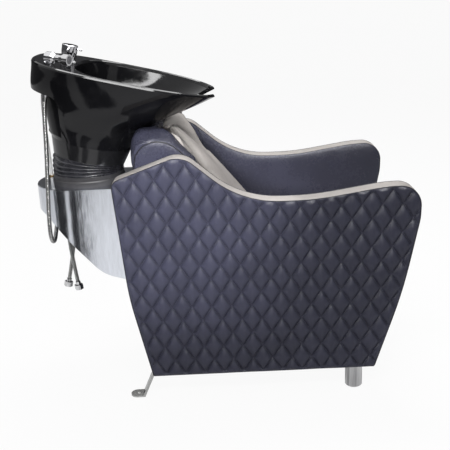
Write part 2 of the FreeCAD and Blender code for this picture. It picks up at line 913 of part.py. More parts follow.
rail_z = s.floor_gap + s.tube / 2
rail_y = core_inner - s.tube / 2
cross_length = (rail_y - s.tube / 2) * 2
for name, side in SIDES.items():
    rail_length = s.frame_front - s.frame_rear
    square_tube(f"frame_rail_{name}", "YZ_Plane", rail_length, s.frame_rear, rail_y * side, rail_z)
    y = bowl_arm_y(side)
    upright_x = s.frame_rear + s.tube / 2
    foot = s.floor_gap + s.tube
    square_tube(f"frame_upright_{name}", "XY_Plane", s.upright_top - foot, upright_x, y, foot)
    arm_z = s.upright_top - s.tube / 2
    square_tube(f"bowl_arm_{name}", "YZ_Plane", s.frame_rear - s.bowl_arm_rear, s.bowl_arm_rear, y, arm_z)
for name, x in (("rear", s.frame_rear), ("front", s.front_cross)):
    square_tube(f"frame_cross_{name}", "XZ_Plane", cross_length, x + s.tube / 2, cross_length / 2, rail_z)


def front_leg(label, side):
    """A chromed leg, turned, with rounded ends."""
    top = s.floor_gap - s.leg_plate_thick
    leg = turned(label, [(0, 0), (s.leg_radius - s.leg_round, 0), (s.leg_radius, s.leg_round),
                         (s.leg_radius, top), (0, top)])
    return stand(leg, s.leg_x, s.leg_y * side, 0)


def leg_plate(label, side):
    owner = body(label)
    drawn = sketch(owner, "XY_Plane", f"{label}_plan")
    box_outline(drawn, 0, 0, s.leg_plate, s.leg_plate)
    pad(owner, drawn, s.leg_plate_thick)
    hole = sketch(owner, "XY_Plane", f"{label}_hole", s.leg_plate_thick)
    circle(hole, s.leg_screw_spacing / 2, s.leg_screw_spacing / 2, s.leg_screw_radius)
    drilled = pocket(owner, hole, s.leg_plate_thick)
    doc.recompute()
    ringed(owner, drilled, 4)
    return stand(owner, s.leg_x, s.leg_y * side, s.floor_gap - s.leg_plate_thick)


def rear_foot(label, side):
    """A flat bar bent down to the floor, with a round toe and a hole for the floor bolt."""
    owner = body(label)
    drawn = sketch(owner, "XZ_Plane", f"{label}_side")
    top, low = s.floor_gap, s.floor_gap - s.foot_thick
    slant = s.foot_thick * 1.1
    outline(drawn, [(-s.foot_toe, 0), (s.foot_heel, 0), (s.foot_knee + slant, low), (s.foot_top_end, low),
                    (s.foot_top_end, top), (s.foot_knee, top), (s.foot_heel - slant, s.foot_thick),
                    (-s.foot_toe, s.foot_thick)])
    bar = pad(owner, drawn, s.foot_width, middle=True)
    doc.recompute()
    at_toe = float(s.seat_gap) - float(s.foot_toe)
    upright = [f"Edge{number}" for number, edge in enumerate(bar.Shape.Edges, start=1)
               if edge.BoundBox.XMax < at_toe and edge.BoundBox.ZLength > float(s.foot_thick) / 2]
    toe = owner.newObject("PartDesign::Fillet", "Toe")
    toe.Base = (bar, upright)
    toe.setExpression("Radius", (s.foot_width / 2 - s.seat_gap).text)
    bolt = sketch(owner, "XY_Plane", f"{label}_bolt")
    circle(bolt, 0, 0, s.foot_hole)
    pocket(owner, bolt, s.foot_thick * 2, middle=True)
    return stand(owner, 0, s.foot_y * side, 0)


for name, side in SIDES.items():
    front_leg(f"front_leg_{name}", side)
    leg_plate(f"leg_plate_{name}", side)
    rear_foot(f"rear_foot_{name}", side)


# The steel shell round the plumbing, and the plate on it that carries the neck
def shell_plan(radius):
    """The shell's plan: a half round at the rear and straight sides to the front."""
    round_end = Part.makeCylinder(radius, everywhere, V(s.shell_x, 0, 0), UP)
    sides = block(s.shell_x, s.frame_rear, -radius, radius, 0, everywhere)
    return round_end.fuse(sides).removeSplitter()


def ahead_of_cover():
    """All that lies in front of the rear cover's rear face, less a small gap."""
    gap = float(s.seat_gap)
    levels = (0, arm_point(arm_shares[1]).z, everywhere)
    rear = [V(rear_cover_x(z) - gap, 0, z) for z in levels]
    wire = Part.makePolygon(rear + [V(everywhere, 0, everywhere), V(everywhere, 0, 0), rear[0]])
    return slab(wire, -everywhere, everywhere)


def under_hem():
    """All that lies below the shell's lower edge."""
    low = -everywhere
    wire = side_wire([
        (low, s.shell_back_z, 0),
        (s.shell_heel_x, s.shell_heel_z, s.shell_curve / 2),
        (s.shell_knee_x, s.shell_knee_z, s.shell_curve),
        (s.shell_low_x, s.shell_low_z, s.shell_curve),
        (everywhere, s.shell_low_z, 0),
        (everywhere, low, 0),
        (low, low, 0),
    ])
    return slab(wire, -everywhere, everywhere)


def steel_shell():
    wall = shell_plan(s.shell_radius).cut(shell_plan(s.shell_radius - s.shell_wall))
    return below(wall, s.shell_top).cut([under_hem(), ahead_of_cover()])


def top_plate():
    plate = above(shell_plan(s.shell_radius - s.shell_wall * 0.5), s.shell_top)
    plate = below(plate, s.shell_top + s.plate_thick)
    holes = [
        Part.makeCylinder(s.waste_room, everywhere, V(s.neck_x, 0, 0), UP),
        Part.makeCylinder(s.tail_hole_radius, everywhere, V(s.neck_x + s.tail_hole_x, 0, 0), UP),
        Part.makeCylinder(s.union_radius, everywhere, V(s.outlet_x, s.outlet_y, 0), UP),
    ]
    return plate.cut(holes + [ahead_of_cover()])


shaped("steel_shell", steel_shell())
shaped("top_plate", top_plate())

# Neck: a base ring on the plate, a fork with a pin each side, the bowl's cradle and the collar
plate_top = s.shell_top + s.plate_thick
ring_top = plate_top + s.ring_height
stand(turned("base_ring", [
    (s.ring_bore, 0), (s.ring_radius + s.ring_step, 0), (s.ring_radius + s.ring_step, s.ring_height / 2),
    (s.ring_radius, s.ring_height / 2 + s.ring_step), (s.ring_radius, s.ring_height),
    (s.ring_bore, s.ring_height),
]), s.neck_x, 0, plate_top)

collar = turned("collar", [
    (s.collar_bottom_radius - s.collar_wall, s.collar_bottom), (s.collar_bottom_radius, s.collar_bottom),
    (s.collar_top_radius, s.collar_top), (s.collar_top_radius - s.collar_wall, s.collar_top),
])
collar.Placement = bowl_frame


def bellows():
    """Rubber folds from the level ring to the tilted collar, each plane turned a little more."""
    folds = round(float(s.bellows_folds))
    gap = float(s.seat_gap)
    low = float(ring_top) - float(s.pivot_height) + gap
    high = float(s.collar_bottom) - gap
    crest = (float(s.ring_radius), float(s.collar_bottom_radius))
    walls = []
    for inward in (0.0, float(s.bellows_wall)):
        circles = []
        steps = folds * 4
        for step in range(steps):
            part = step / (steps - 1)
            depth = 0.0 if step % 4 in (1, 2) else float(s.bellows_fold_depth)
            radius = crest[0] + (crest[1] - crest[0]) * part - depth - inward
            ring = Part.Wire(Part.Circle(V(0, 0, low + (high - low) * part), UP, radius).toShape())
            ring.rotate(V(0, 0, 0), ACROSS, float(s.bowl_tilt) * part)
            circles.append(ring)
        walls.append(Part.makeLoft(circles, True, True))
    skin = walls[0].cut(walls[1])
    skin.translate(V(s.neck_x, 0, s.pivot_height))
    return skin


shaped("bellows", bellows())

fork = body("tilt_fork")
fork_side = sketch(fork, "YZ_Plane", "tilt_fork_front")
ear_out = s.fork_ear_y + s.ear_thick
fork_low = plate_top - s.pivot_height
outline(fork_side, [
    (-s.fork_base / 2, fork_low), (s.fork_base / 2, fork_low),
    (s.fork_base / 2, fork_low + s.fork_base_thick),
    (ear_out, fork_low + s.fork_base_thick), (ear_out, s.ear_width / 2), (s.fork_ear_y, s.ear_width / 2),
    (s.fork_ear_y, fork_low + s.fork_base_thick), (-s.fork_ear_y, fork_low + s.fork_base_thick),
    (-s.fork_ear_y, s.ear_width / 2), (-ear_out, s.ear_width / 2), (-ear_out, fork_low + s.fork_base_thick),
    (-s.fork_base / 2, fork_low + s.fork_base_thick),
])
pad(fork, fork_side, s.fork_base_long, middle=True)


def trim_ears(owner, name, spread, low, high, width_at_base):
    """Cuts both ears to their width and rounds them about the pin."""
    for hand in (1, -1):
        drawn = sketch(owner, "XZ_Plane", f"{name}_trim")
        half = s.ear_width / 2
        reach = width_at_base / 2 + s.ear_thick
        outline(drawn, [(half * hand, low), (reach * hand, low), (reach * hand, high), (half * hand, high)])
        pocket(owner, drawn, spread, middle=True)


trim_ears(fork, "tilt_fork", s.fork_base, fork_low + s.fork_base_thick, s.ear_width, s.fork_base_long)
pin_bore = sketch(fork, "XZ_Plane", "tilt_fork_bore")
circle(pin_bore, 0, 0, s.pin_radius + s.pin_play)
pocket(fork, pin_bore, s.fork_base, middle=True)
waste_bore = sketch(fork, "XY_Plane", "tilt_fork_waste", fork_low + s.fork_base_thick)
circle(waste_bore, 0, 0, s.waste_room)
pocket(fork, waste_bore, s.fork_base_thick)
stand(fork, s.neck_x, 0, s.pivot_height)


def tilt_cradle():
    """The plate under the bowl with an ear each side, bored for the pins."""
    top = s.neck_bore_top - s.seat_gap
    low = top - s.cradle_thick
    plate = Part.makeCylinder(s.cradle_plate, s.cradle_thick, V(0, 0, low), UP)
    plate = plate.cut([
        Part.makeCylinder(s.waste_room, s.overrun, V(0, 0, low - s.cradle_thick), UP),
        Part.makeCylinder(s.tail_hole_radius, s.overrun, V(s.tail_hole_x, 0, low - s.cradle_thick), UP),
    ])
    half = s.ear_width / 2
    for side in SIDES.values():
        y = s.cradle_ear_y if side > 0 else -s.cradle_ear_y - s.ear_thick
        ear = Part.makeCylinder(half, s.ear_thick, V(0, y, 0), ACROSS)
        ear = ear.fuse(block(-half, half, y, y + s.ear_thick, 0, low + s.cradle_thick / 2))
        ear = ear.cut(Part.makeCylinder(s.pin_radius + s.pin_play, s.ear_thick, V(0, y, 0), ACROSS))
        plate = plate.fuse(ear)
    return plate.removeSplitter()


def tilt_pins():
    """A headed pin through each pair of ears."""
    pins = []
    for side in SIDES.values():
        start = V(0, (s.cradle_ear_y - s.ear_thick) * side, 0)
        length = s.fork_ear_y + s.ear_thick - s.cradle_ear_y + s.ear_thick + s.seat_gap
        way = ACROSS * side
        head = V(0, (s.fork_ear_y + s.ear_thick + s.seat_gap) * side, 0)
        shank = Part.makeCylinder(s.pin_radius, length, start, way)
        pins.append(shank.fuse(Part.makeCylinder(s.pin_head, s.ear_thick, head, way)).removeSplitter())
    return Part.makeCompound(pins)


def friction_washers():
    """A stiff washer between each fork ear and cradle ear, which holds the bowl's tilt."""
    washers = []
    gap = s.fork_ear_y - s.cradle_ear_y - s.ear_thick
    for side in SIDES.values():
        start = V(0, (s.cradle_ear_y + s.ear_thick + s.pin_play) * side, 0)
        washers.append(tube(s.ear_width / 2 - s.pin_play, s.pin_radius + s.pin_play, start,
                            ACROSS * side, gap - s.pin_play * 2))
    return Part.makeCompound(washers)


at_pivot = placed(s.neck_x, 0, s.pivot_height)
shaped("tilt_cradle", tilt_cradle(), bowl_frame)
shaped("tilt_pins", tilt_pins(), at_pivot)
shaped("friction_washers", friction_washers(), at_pivot)


# Bowl
def rounded_rect(x0, x1, half, z, radius):
    corners = [V(x0, half, z), V(x0, -half, z), V(x1, -half, z), V(x1, half, z)]
    return rounded_wire([(corner, radius) for corner in corners])


def service_duct():
    """The hollow behind the basin through which the mixer's tails come down."""
    rear_top, front_top = s.mixer_x - s.mixer_nut * 2.1, s.mixer_x + s.mixer_nut * 1.05
    low = rounded_rect(s.tail_hole_x - s.tail_hole_radius, s.tail_hole_x + s.tail_hole_radius,
                       s.tail_hole_radius * 1.2, s.bowl_foot - s.seat_gap, s.bowl_wall / 2)
    high = rounded_rect(rear_top, front_top, s.mixer_nut * 1.5, s.bowl_rim - s.deck_thick, s.bowl_wall / 2)
    return Part.makeLoft([low, high], True, True)


def neck_notch():
    """The round-bottomed gap in the front of the bowl where the neck lies."""
    radius = s.notch_radius
    centre_z = notch_low + radius
    length = s.bowl_length
    trough = Part.makeCylinder(radius, length, V(s.notch_start, 0, centre_z), ALONG)
    opened = block(s.notch_start, s.notch_start + length, -radius, radius, centre_z, s.bowl_rim + s.overrun)
    return trough.fuse(opened).removeSplitter()


def basin():
    """The hollow of the basin, with an eased edge all round."""
    hollow = Part.makeLoft([egg_at(row, low=s.basin_floor) for row in basin_shares], True)
    round_off = float(s.rim_round)
    step_shares = ((1.4, -0.2), (0.4, 0.25), (-0.2, 1.0))
    edge = [egg_at(basin_row, round_off * drop, round_off * grow, s.basin_floor) for drop, grow in step_shares]
    return hollow.fuse(Part.makeLoft(edge, True, True))


def overhang():
    """What is taken away behind and under the deck, round the narrower column."""
    long = float(s.bowl_length)
    top = V(overhang_top_share * long, 0, s.deck_bottom)
    foot = V(overhang_foot_share * long, 0, overhang_low)
    wire = rounded_wire([(V(-long, 0, s.deck_bottom), 0), (top, overhang_round_share * long), (foot, 0),
                         (V(-long, 0, overhang_low), 0)])
    sections = [egg_at(row, low=overhang_low, high=s.deck_bottom) for row in column_shares]
    column = Part.makeLoft(sections, True, True)
    return slab(wire, -long, long).cut(column)


def bowl():
    """The ceramic bowl: outside less basin, overhang, notch, neck bore, duct and holes."""
    drill = s.bowl_rim * 2
    cuts = [
        basin(),
        overhang(),
        neck_notch(),
        Part.makeCylinder(s.neck_bore, s.neck_bore_top - s.bowl_foot + s.overrun,
                          V(0, 0, s.bowl_foot - s.overrun), UP),
        service_duct(),
        Part.makeCylinder(s.drain_hole, drill, V(0, 0, 0), UP),
        Part.makeCylinder(s.mixer_shank + s.play, drill, V(s.mixer_x, 0, s.basin_floor * 2), UP),
        Part.makeCylinder(s.holder_tail + s.play, drill, V(s.holder_x, s.holder_y, 0), UP),
    ]
    return bowl_form().removeSplitter().cut(cuts)


shaped("bowl", bowl(), bowl_frame)


def neck_rest():
    """A soft saddle in the bottom of the notch, with a lip over the bowl's front edge."""
    outer = float(s.notch_radius) - float(s.seat_gap)
    inner = outer - float(s.rest_thick)
    centre = rest_centre
    half = float(s.rest_sweep) / 2
    saddle = tube(outer, inner, centre, ALONG, s.rest_length)
    spread = everywhere * math.sin(math.radians(half))
    drop = everywhere * math.cos(math.radians(half))
    wedge = Part.makePolygon([centre, centre + V(0, spread, -drop), centre + V(0, -spread, -drop), centre])
    return saddle.common(Part.Face(wedge).extrude(ALONG * float(s.rest_length)))


shaped("neck_rest", neck_rest(), bowl_frame)

strainer_low, strainer_high = s.basin_floor + s.seat_gap, s.basin_floor + s.strainer_thick
strainer = turned("drain_strainer", [
    (0, strainer_low), (s.strainer_radius, strainer_low),
    (s.strainer_radius, s.basin_floor + s.strainer_thick / 2),
    (s.strainer_radius - s.strainer_thick, strainer_high), (0, strainer_high),
])
sieve = sketch(strainer, "XY_Plane", "drain_strainer_hole", s.basin_floor + s.strainer_thick * 2)
circle(sieve, s.strainer_ring, 0, s.strainer_hole)
sieve_hole = pocket(strainer, sieve, s.strainer_thick * 3)
doc.recompute()
ringed(strainer, sieve_hole, 6)
strainer.Placement = bowl_frame

tail_bore = s.tailpiece_radius - s.tailpiece_wall
flange_top = s.neck_bore_top - s.seat_gap
flange_low = flange_top - s.cradle_thick
tailpiece = turned("drain_tailpiece", [
    (tail_bore, s.tailpiece_bottom), (s.tailpiece_radius, s.tailpiece_bottom),
    (s.tailpiece_radius, flange_low),
    (s.tailpiece_flange, flange_low), (s.tailpiece_flange, flange_top), (s.tailpiece_radius, flange_top),
    (s.tailpiece_radius, s.basin_floor), (tail_bore, s.basin_floor),
])
tailpiece.Placement = bowl_frame


# Mixer: body with shank, nut under the deck, turning cap and lever pin
deck_under = s.bowl_rim - s.deck_thick
mixer = turned("mixer_body", [
    (0, s.mixer_shank_bottom), (s.mixer_shank, s.mixer_shank_bottom),
    (s.mixer_shank, s.bowl_rim + s.seat_gap),
    (s.mixer_flange, s.bowl_rim + s.seat_gap), (s.mixer_flange, s.bowl_rim + s.mixer_flange_thick),
    (s.mixer_radius, s.bowl_rim + s.mixer_flange_thick * 2), (s.cap_radius, s.bowl_rim + s.mixer_height),
    (0, s.bowl_rim + s.mixer_height),
])
at_mixer = bowl_frame.multiply(placed(s.mixer_x))
mixer.Placement = at_mixer
mixer_nut = turned("mixer_nut", [
    (s.mixer_shank + s.pin_play, deck_under - s.seat_gap - s.mixer_nut_thick),
    (s.mixer_nut, deck_under - s.seat_gap - s.mixer_nut_thick), (s.mixer_nut, deck_under - s.seat_gap),
    (s.mixer_shank + s.pin_play, deck_under - s.seat_gap),
])
mixer_nut.Placement = at_mixer
cap_low = s.bowl_rim + s.mixer_height + s.pin_play
cap_high = cap_low + s.cap_height
lever_z = cap_low + s.cap_height / 2


def lever_cap():
    """The turning cap, hollow for the lever's ball and slotted at the front for its pin."""
    cap = Part.makeCylinder(s.cap_radius, s.cap_height, V(0, 0, cap_low), UP)
    top = [edge for edge in cap.Edges if edge.BoundBox.ZMin > float(cap_high) - float(s.seat_gap)]
    cap = cap.makeFillet(float(s.cap_round), top)
    hollow = Part.makeSphere(s.lever_socket, V(0, 0, lever_z), ALONG)
    wide = s.lever_slot
    slot = block(0, s.cap_radius * 2, -wide, wide, lever_z - wide, cap_high + s.overrun)
    return cap.cut(slot).cut(hollow)


def lever_pin():
    """The lever: a ball in the cap, a thin pin and a thicker tip."""
    centre = V(0, 0, lever_z)
    ball = Part.makeSphere(s.lever_ball, centre, ALONG)
    stem = Part.makeCylinder(s.lever_pin, s.lever_length, centre, ALONG)
    tip_start = centre + ALONG * float(s.lever_length - s.lever_tip_length)
    tip = Part.makeCylinder(s.lever_tip, s.lever_tip_length, tip_start, ALONG)
    rims = [edge for edge in tip.Edges if edge.BoundBox.XLength < float(s.seat_gap)]
    tip = tip.makeFillet(float(s.lever_tip) / 3, rims)
    return ball.fuse([stem, tip]).removeSplitter()


shaped("lever_cap", lever_cap(), at_mixer)
shaped("lever_pin", lever_pin(), at_mixer)

# Shower holder: a stem on the deck with a socket that points over the basin
yaw, pitch = math.radians(s.shower_yaw), math.radians(s.shower_pitch)
shower_way = V(math.cos(yaw) * math.cos(pitch), math.sin(yaw) * math.cos(pitch), -math.sin(pitch))
socket_centre = V(s.holder_x, s.holder_y, s.bowl_rim + s.holder_height)
socket_rear = socket_centre - shower_way * (float(s.socket_length) / 2)


def shower_holder():
    base = V(s.holder_x, s.holder_y, s.bowl_rim + s.seat_gap)
    flange = Part.makeCylinder(s.holder_flange, s.holder_flange_thick, base, UP)
    stem = Part.makeCylinder(s.holder_stem, s.holder_height, base, UP)
    tail_low = V(s.holder_x, s.holder_y, s.holder_tail_bottom)
    tail = Part.makeCylinder(s.holder_tail, s.bowl_rim - s.holder_tail_bottom + s.seat_gap, tail_low, UP)
    socket = Part.makeCylinder(s.socket_radius, s.socket_length, socket_rear, shower_way)
    whole = flange.fuse([stem, tail, socket])
    bore = Part.makeCylinder(s.socket_bore, s.socket_length - s.bowl_wall / 4,
                             socket_rear + shower_way * float(s.bowl_wall / 4), shower_way)
    bore_long = s.bowl_rim - s.holder_tail_bottom + s.holder_height
    hose_bore = Part.makeCylinder(s.shower_hose_bore / 2, bore_long, tail_low, UP)
    return whole.cut([bore, hose_bore]).removeSplitter()


shaped("shower_holder", shower_holder(), bowl_frame)
shower_turn = FreeCAD.Rotation(UP, shower_way)
socket_front = socket_centre + shower_way * (float(s.socket_length) / 2)
at_shower = bowl_frame.multiply(FreeCAD.Placement(socket_front, shower_turn))
head_start = s.shower_length * 0.45
recess = s.shower_length - s.shower_face_depth
hand_shower = turned("hand_shower", [
    (0, -s.shower_shank_length), (s.shower_shank, -s.shower_shank_length), (s.shower_shank, s.seat_gap),
    (s.socket_radius, s.seat_gap), (s.shower_neck, s.shower_length * 0.14), (s.shower_neck, head_start),
    (s.shower_head, s.shower_length * 0.68), (s.shower_head, s.shower_length),
    (s.shower_face + s.pin_play, s.shower_length), (s.shower_face + s.pin_play, recess), (0, recess),
])
hand_shower.Placement = at_shower
shower_face = turned("shower_face", [
    (0, recess + s.pin_play), (s.shower_face, recess + s.pin_play),
    (s.shower_face, s.shower_length - s.pin_play),
    (0, s.shower_length - s.pin_play),
])
jets = sketch(shower_face, "XY_Plane", "shower_face_jet", s.shower_length + s.play)
circle(jets, s.jet_ring, 0, s.jet_hole)
jet = pocket(shower_face, jets, s.shower_face_depth / 2)
doc.recompute()
ringed(shower_face, jet, 8)
shower_face.Placement = at_shower


# Hoses: each a tube of straight runs joined by arcs as large as the runs allow
def hose_path(points):
    """The runs and arcs through a route, with its length and smallest radius."""
    edges = []
    last = points[0]
    smallest = everywhere
    for index in range(1, len(points) - 1):
        here = points[index]
        inward, outward = points[index - 1] - here, points[index + 1] - here
        shorter = min(inward.Length, outward.Length)
        inward.normalize()
        outward.normalize()
        half_turn = (math.pi - inward.getAngle(outward)) / 2
        reach = float(s.hose_bend_share) * shorter
        radius = reach / math.tan(half_turn)
        middle = (inward + outward).normalize() * (radius / math.cos(half_turn) - radius)
        first = here + inward * reach
        edges.append(Part.LineSegment(last, first).toShape())
        last = here + outward * reach
        edges.append(Part.Arc(first, here + middle, last).toShape())
        smallest = min(smallest, radius)
    edges.append(Part.LineSegment(last, points[-1]).toShape())
    return Part.Wire(edges), smallest


def hose(name, points, diameter, bore):
    """A hose with its bore; prints its length, smallest radius and how its volume compares."""
    path, smallest = hose_path(points)
    way = (points[1] - points[0]).normalize()
    radii = (float(diameter) / 2, float(bore) / 2)
    skins = []
    for radius in radii:
        ring = Part.Wire(Part.Circle(points[0], way, radius).toShape())
        skins.append(path.makePipeShell([ring], True, False))
    solid = skins[0].cut(skins[1])
    ideal = math.pi * (radii[0] ** 2 - radii[1] ** 2) * path.Length
    print(f"{name}: length {path.Length:.0f}, smallest radius {smallest:.0f},"
          f" volume {solid.Volume / ideal:.4f}")
    return solid


def on_bowl(x, y, z):
    return bowl_frame.multVec(V(x, y, z))


down = bowl_frame.Rotation.multVec(-UP)
tail_end = on_bowl(s.holder_x, s.holder_y, s.holder_tail_bottom - s.seat_gap)
union_low = s.shell_top - s.union_height
# The places that the hoses hang through, as chosen from the photo
shower_places = [
    (-226, -121, 832),
    (-230, -123, 745),
    (-238, -127, 630),
    (-244, -130, 540),
    (-246, -128, 472),
    (-246, -84, 443),
    (-246, -36, 470),
    (-248, 4, 498),
    (-257, 44, 545),
    (-262, 60, 583),
]
outlet_places = [
    (-262, 60, 668),
    (-265, 61, 740),
    (-268, 62, 820),
]
tail_places = [
    (-186, 7, 845),
    (-190, 8, 765),
    (-203, 8, 690),
]
supply_places = {
    "cold": [(-211, -13, 530), (-214, -15, 430), (-207, -17, 350), (-200, -16, 284)],
    "hot": [(-201, 13, 530), (-202, 16, 430), (-217, 17, 350), (-233, 16, 284)],
}


def places(table, side=1):
    return [V(x, y * side, z) for x, y, z in table]


shower_start = [tail_end, tail_end + down * float(s.shower_lead)]
shower_finish = V(s.outlet_x, s.outlet_y, union_low - s.seat_gap)
shower_route = shower_start + places(shower_places) + [shower_finish]
shaped("shower_hose", hose("shower_hose", shower_route, s.shower_hose, s.shower_hose_bore))

outlet_top = on_bowl(s.outlet_deck_x, s.outlet_y, s.deck_bottom - s.seat_gap)
outlet_start = V(s.outlet_x, s.outlet_y, plate_top + s.union_flange_thick + s.seat_gap)
outlet_finish = [outlet_top + down * float(s.outlet_lead), outlet_top]
outlet_route = [outlet_start] + places(outlet_places) + outlet_finish
bore_share = float(s.hose_bore_share)
shaped("outlet_hose", hose("outlet_hose", outlet_route, s.outlet_hose, s.outlet_hose * bore_share))

stand(turned("hose_union", [
    (0, -s.union_height), (s.union_radius - s.seat_gap, -s.union_height),
    (s.union_radius - s.seat_gap, s.plate_thick),
    (s.union_flange, s.plate_thick), (s.union_flange, s.plate_thick + s.union_flange_thick),
    (0, s.plate_thick + s.union_flange_thick),
]), s.outlet_x, s.outlet_y, s.shell_top)

tail_x = s.neck_x + s.tail_hole_x
hose_step = s.supply_spread / 2
tails = []
for side in SIDES.values():
    start = on_bowl(s.mixer_x, hose_step * 0.75 * side, s.mixer_shank_bottom - s.seat_gap)
    finish = V(tail_x, hose_step * side, s.shell_top)
    route = [start, start + down * float(s.tail_lead)] + places(tail_places, side) + [finish]
    tails.append(hose("mixer_tail", route, s.tail_hose, s.tail_hose * bore_share))
shaped("mixer_tails", Part.makeCompound(tails))

def supply_nut():
    """A hexagonal swivel nut with a sleeve above it, threaded inside from its open end."""
    corner = float(s.nut_across) / math.sqrt(3)
    turns = [k * math.pi / 3 for k in range(6)]
    hexagon = [V(corner * math.cos(turn), corner * math.sin(turn), 0) for turn in turns]
    flats = UP * float(s.nut_length - s.nut_sleeve_length)
    prism = Part.Face(Part.makePolygon(hexagon + hexagon[:1])).extrude(flats)
    sleeve = Part.makeCylinder(s.nut_sleeve, s.nut_length, V(0, 0, 0), UP)
    return prism.fuse(sleeve).cut(Part.makeCylinder(s.nut_thread, s.nut_thread_depth, V(0, 0, 0), UP))


for name, hand in (("cold", -1), ("hot", 1)):
    route = [V(tail_x, hose_step * hand, s.shell_top - s.seat_gap)] + places(supply_places[name])
    bore = s.supply_hose * bore_share
    shaped(f"supply_hose_{name}", hose(f"supply_hose_{name}", route, s.supply_hose, bore))
    way = (route[-2] - route[-1]).normalize()
    foot = route[-1] - way * float(s.nut_length + s.seat_gap)
    shaped(f"supply_nut_{name}", supply_nut(), FreeCAD.Placement(foot, FreeCAD.Rotation(UP, way)))
    print(f"supply_nut_{name}: mouth {foot.x:.2f} {foot.y:.2f} {foot.z:.2f},"
          f" axis {-way.x:.4f} {-way.y:.4f} {-way.z:.4f}")

# Waste: a hose from the drain tail to a pipe on a bracket under the plate
hose_bore = s.waste_hose_radius - s.waste_hose_wall
waste_start = on_bowl(0, 0, s.tailpiece_bottom + s.cradle_thick * 3)
waste_route = [
    waste_start,
    on_bowl(0, 0, -s.cradle_thick * 4),
    V(s.neck_x, 0, s.shell_top),
    V(s.neck_x, 0, s.waste_pipe_top - s.cradle_thick * 4),
]
shaped("waste_hose", hose("waste_hose", waste_route, s.waste_hose_radius * 2, hose_bore * 2))
plate_low = s.waste_plate_z
pipe_bore = s.waste_pipe_radius - s.waste_pipe_wall
spigot_top = s.waste_pipe_bottom + s.waste_spigot_length
stand(turned("waste_pipe", [
    (pipe_bore, s.waste_pipe_bottom), (s.waste_spigot_radius, s.waste_pipe_bottom),
    (s.waste_spigot_radius, spigot_top), (s.waste_pipe_radius, spigot_top),
    (s.waste_pipe_radius, plate_low), (s.waste_pipe_flange, plate_low),
    (s.waste_pipe_flange, plate_low + s.cradle_thick), (s.waste_pipe_radius, plate_low + s.cradle_thick),
    (s.waste_pipe_radius, s.waste_pipe_top), (pipe_bore, s.waste_pipe_top),
]), s.neck_x, 0, 0)


def waste_bracket():
    """A strap under the bowl arms with a hole that carries the waste pipe's flange."""
    thick = s.ear_thick
    half = s.upright_spread / 2 + s.tube / 2
    inside = s.upright_spread / 2 - s.tube / 2
    top = s.upright_top - s.tube
    x0, x1 = s.neck_x - s.ear_width / 2, s.neck_x + s.ear_width / 2
    floor_top = plate_low
    strap = block(x0, x1, -inside - thick, inside + thick, floor_top - thick, floor_top)
    for side in SIDES.values():
        wall = sorted((float(inside) * side, float(inside + thick) * side))
        flange = sorted((float(inside) * side, float(half) * side))
        strap = strap.fuse([block(x0, x1, *wall, floor_top - thick, top),
                            block(x0, x1, *flange, top - thick, top)])
    return strap.cut(Part.makeCylinder(s.waste_pipe_radius + s.play, everywhere, V(s.neck_x, 0, 0), UP))


shaped("waste_bracket", waste_bracket().removeSplitter())

doc.recompute()
for thing in doc.Objects:
    if "Invalid" in thing.State or "Error" in thing.State:
        raise RuntimeError(f"{thing.Label} failed: {thing.State}")
for piece in pieces:
    if piece.Shape.isNull() or not piece.Shape.isValid() or piece.Shape.Volume <= 0:
        raise RuntimeError(f"{piece.Label} has no valid solid")

os.makedirs("parts", exist_ok=True)
for piece in pieces:
    piece.Shape.exportStep(os.path.join("parts", f"{piece.Label}.step"))
print(f"{len(pieces)} pieces written")
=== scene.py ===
# %% [markdown]
# # A salon wash chair in leather, glazed ceramic and steel
# The chair comes in as a finished set of solids, each at its own place. This notebook dresses them:
# the hard parts keep their solids and get finishes, and the soft parts, hoses and trims are modelled anew.

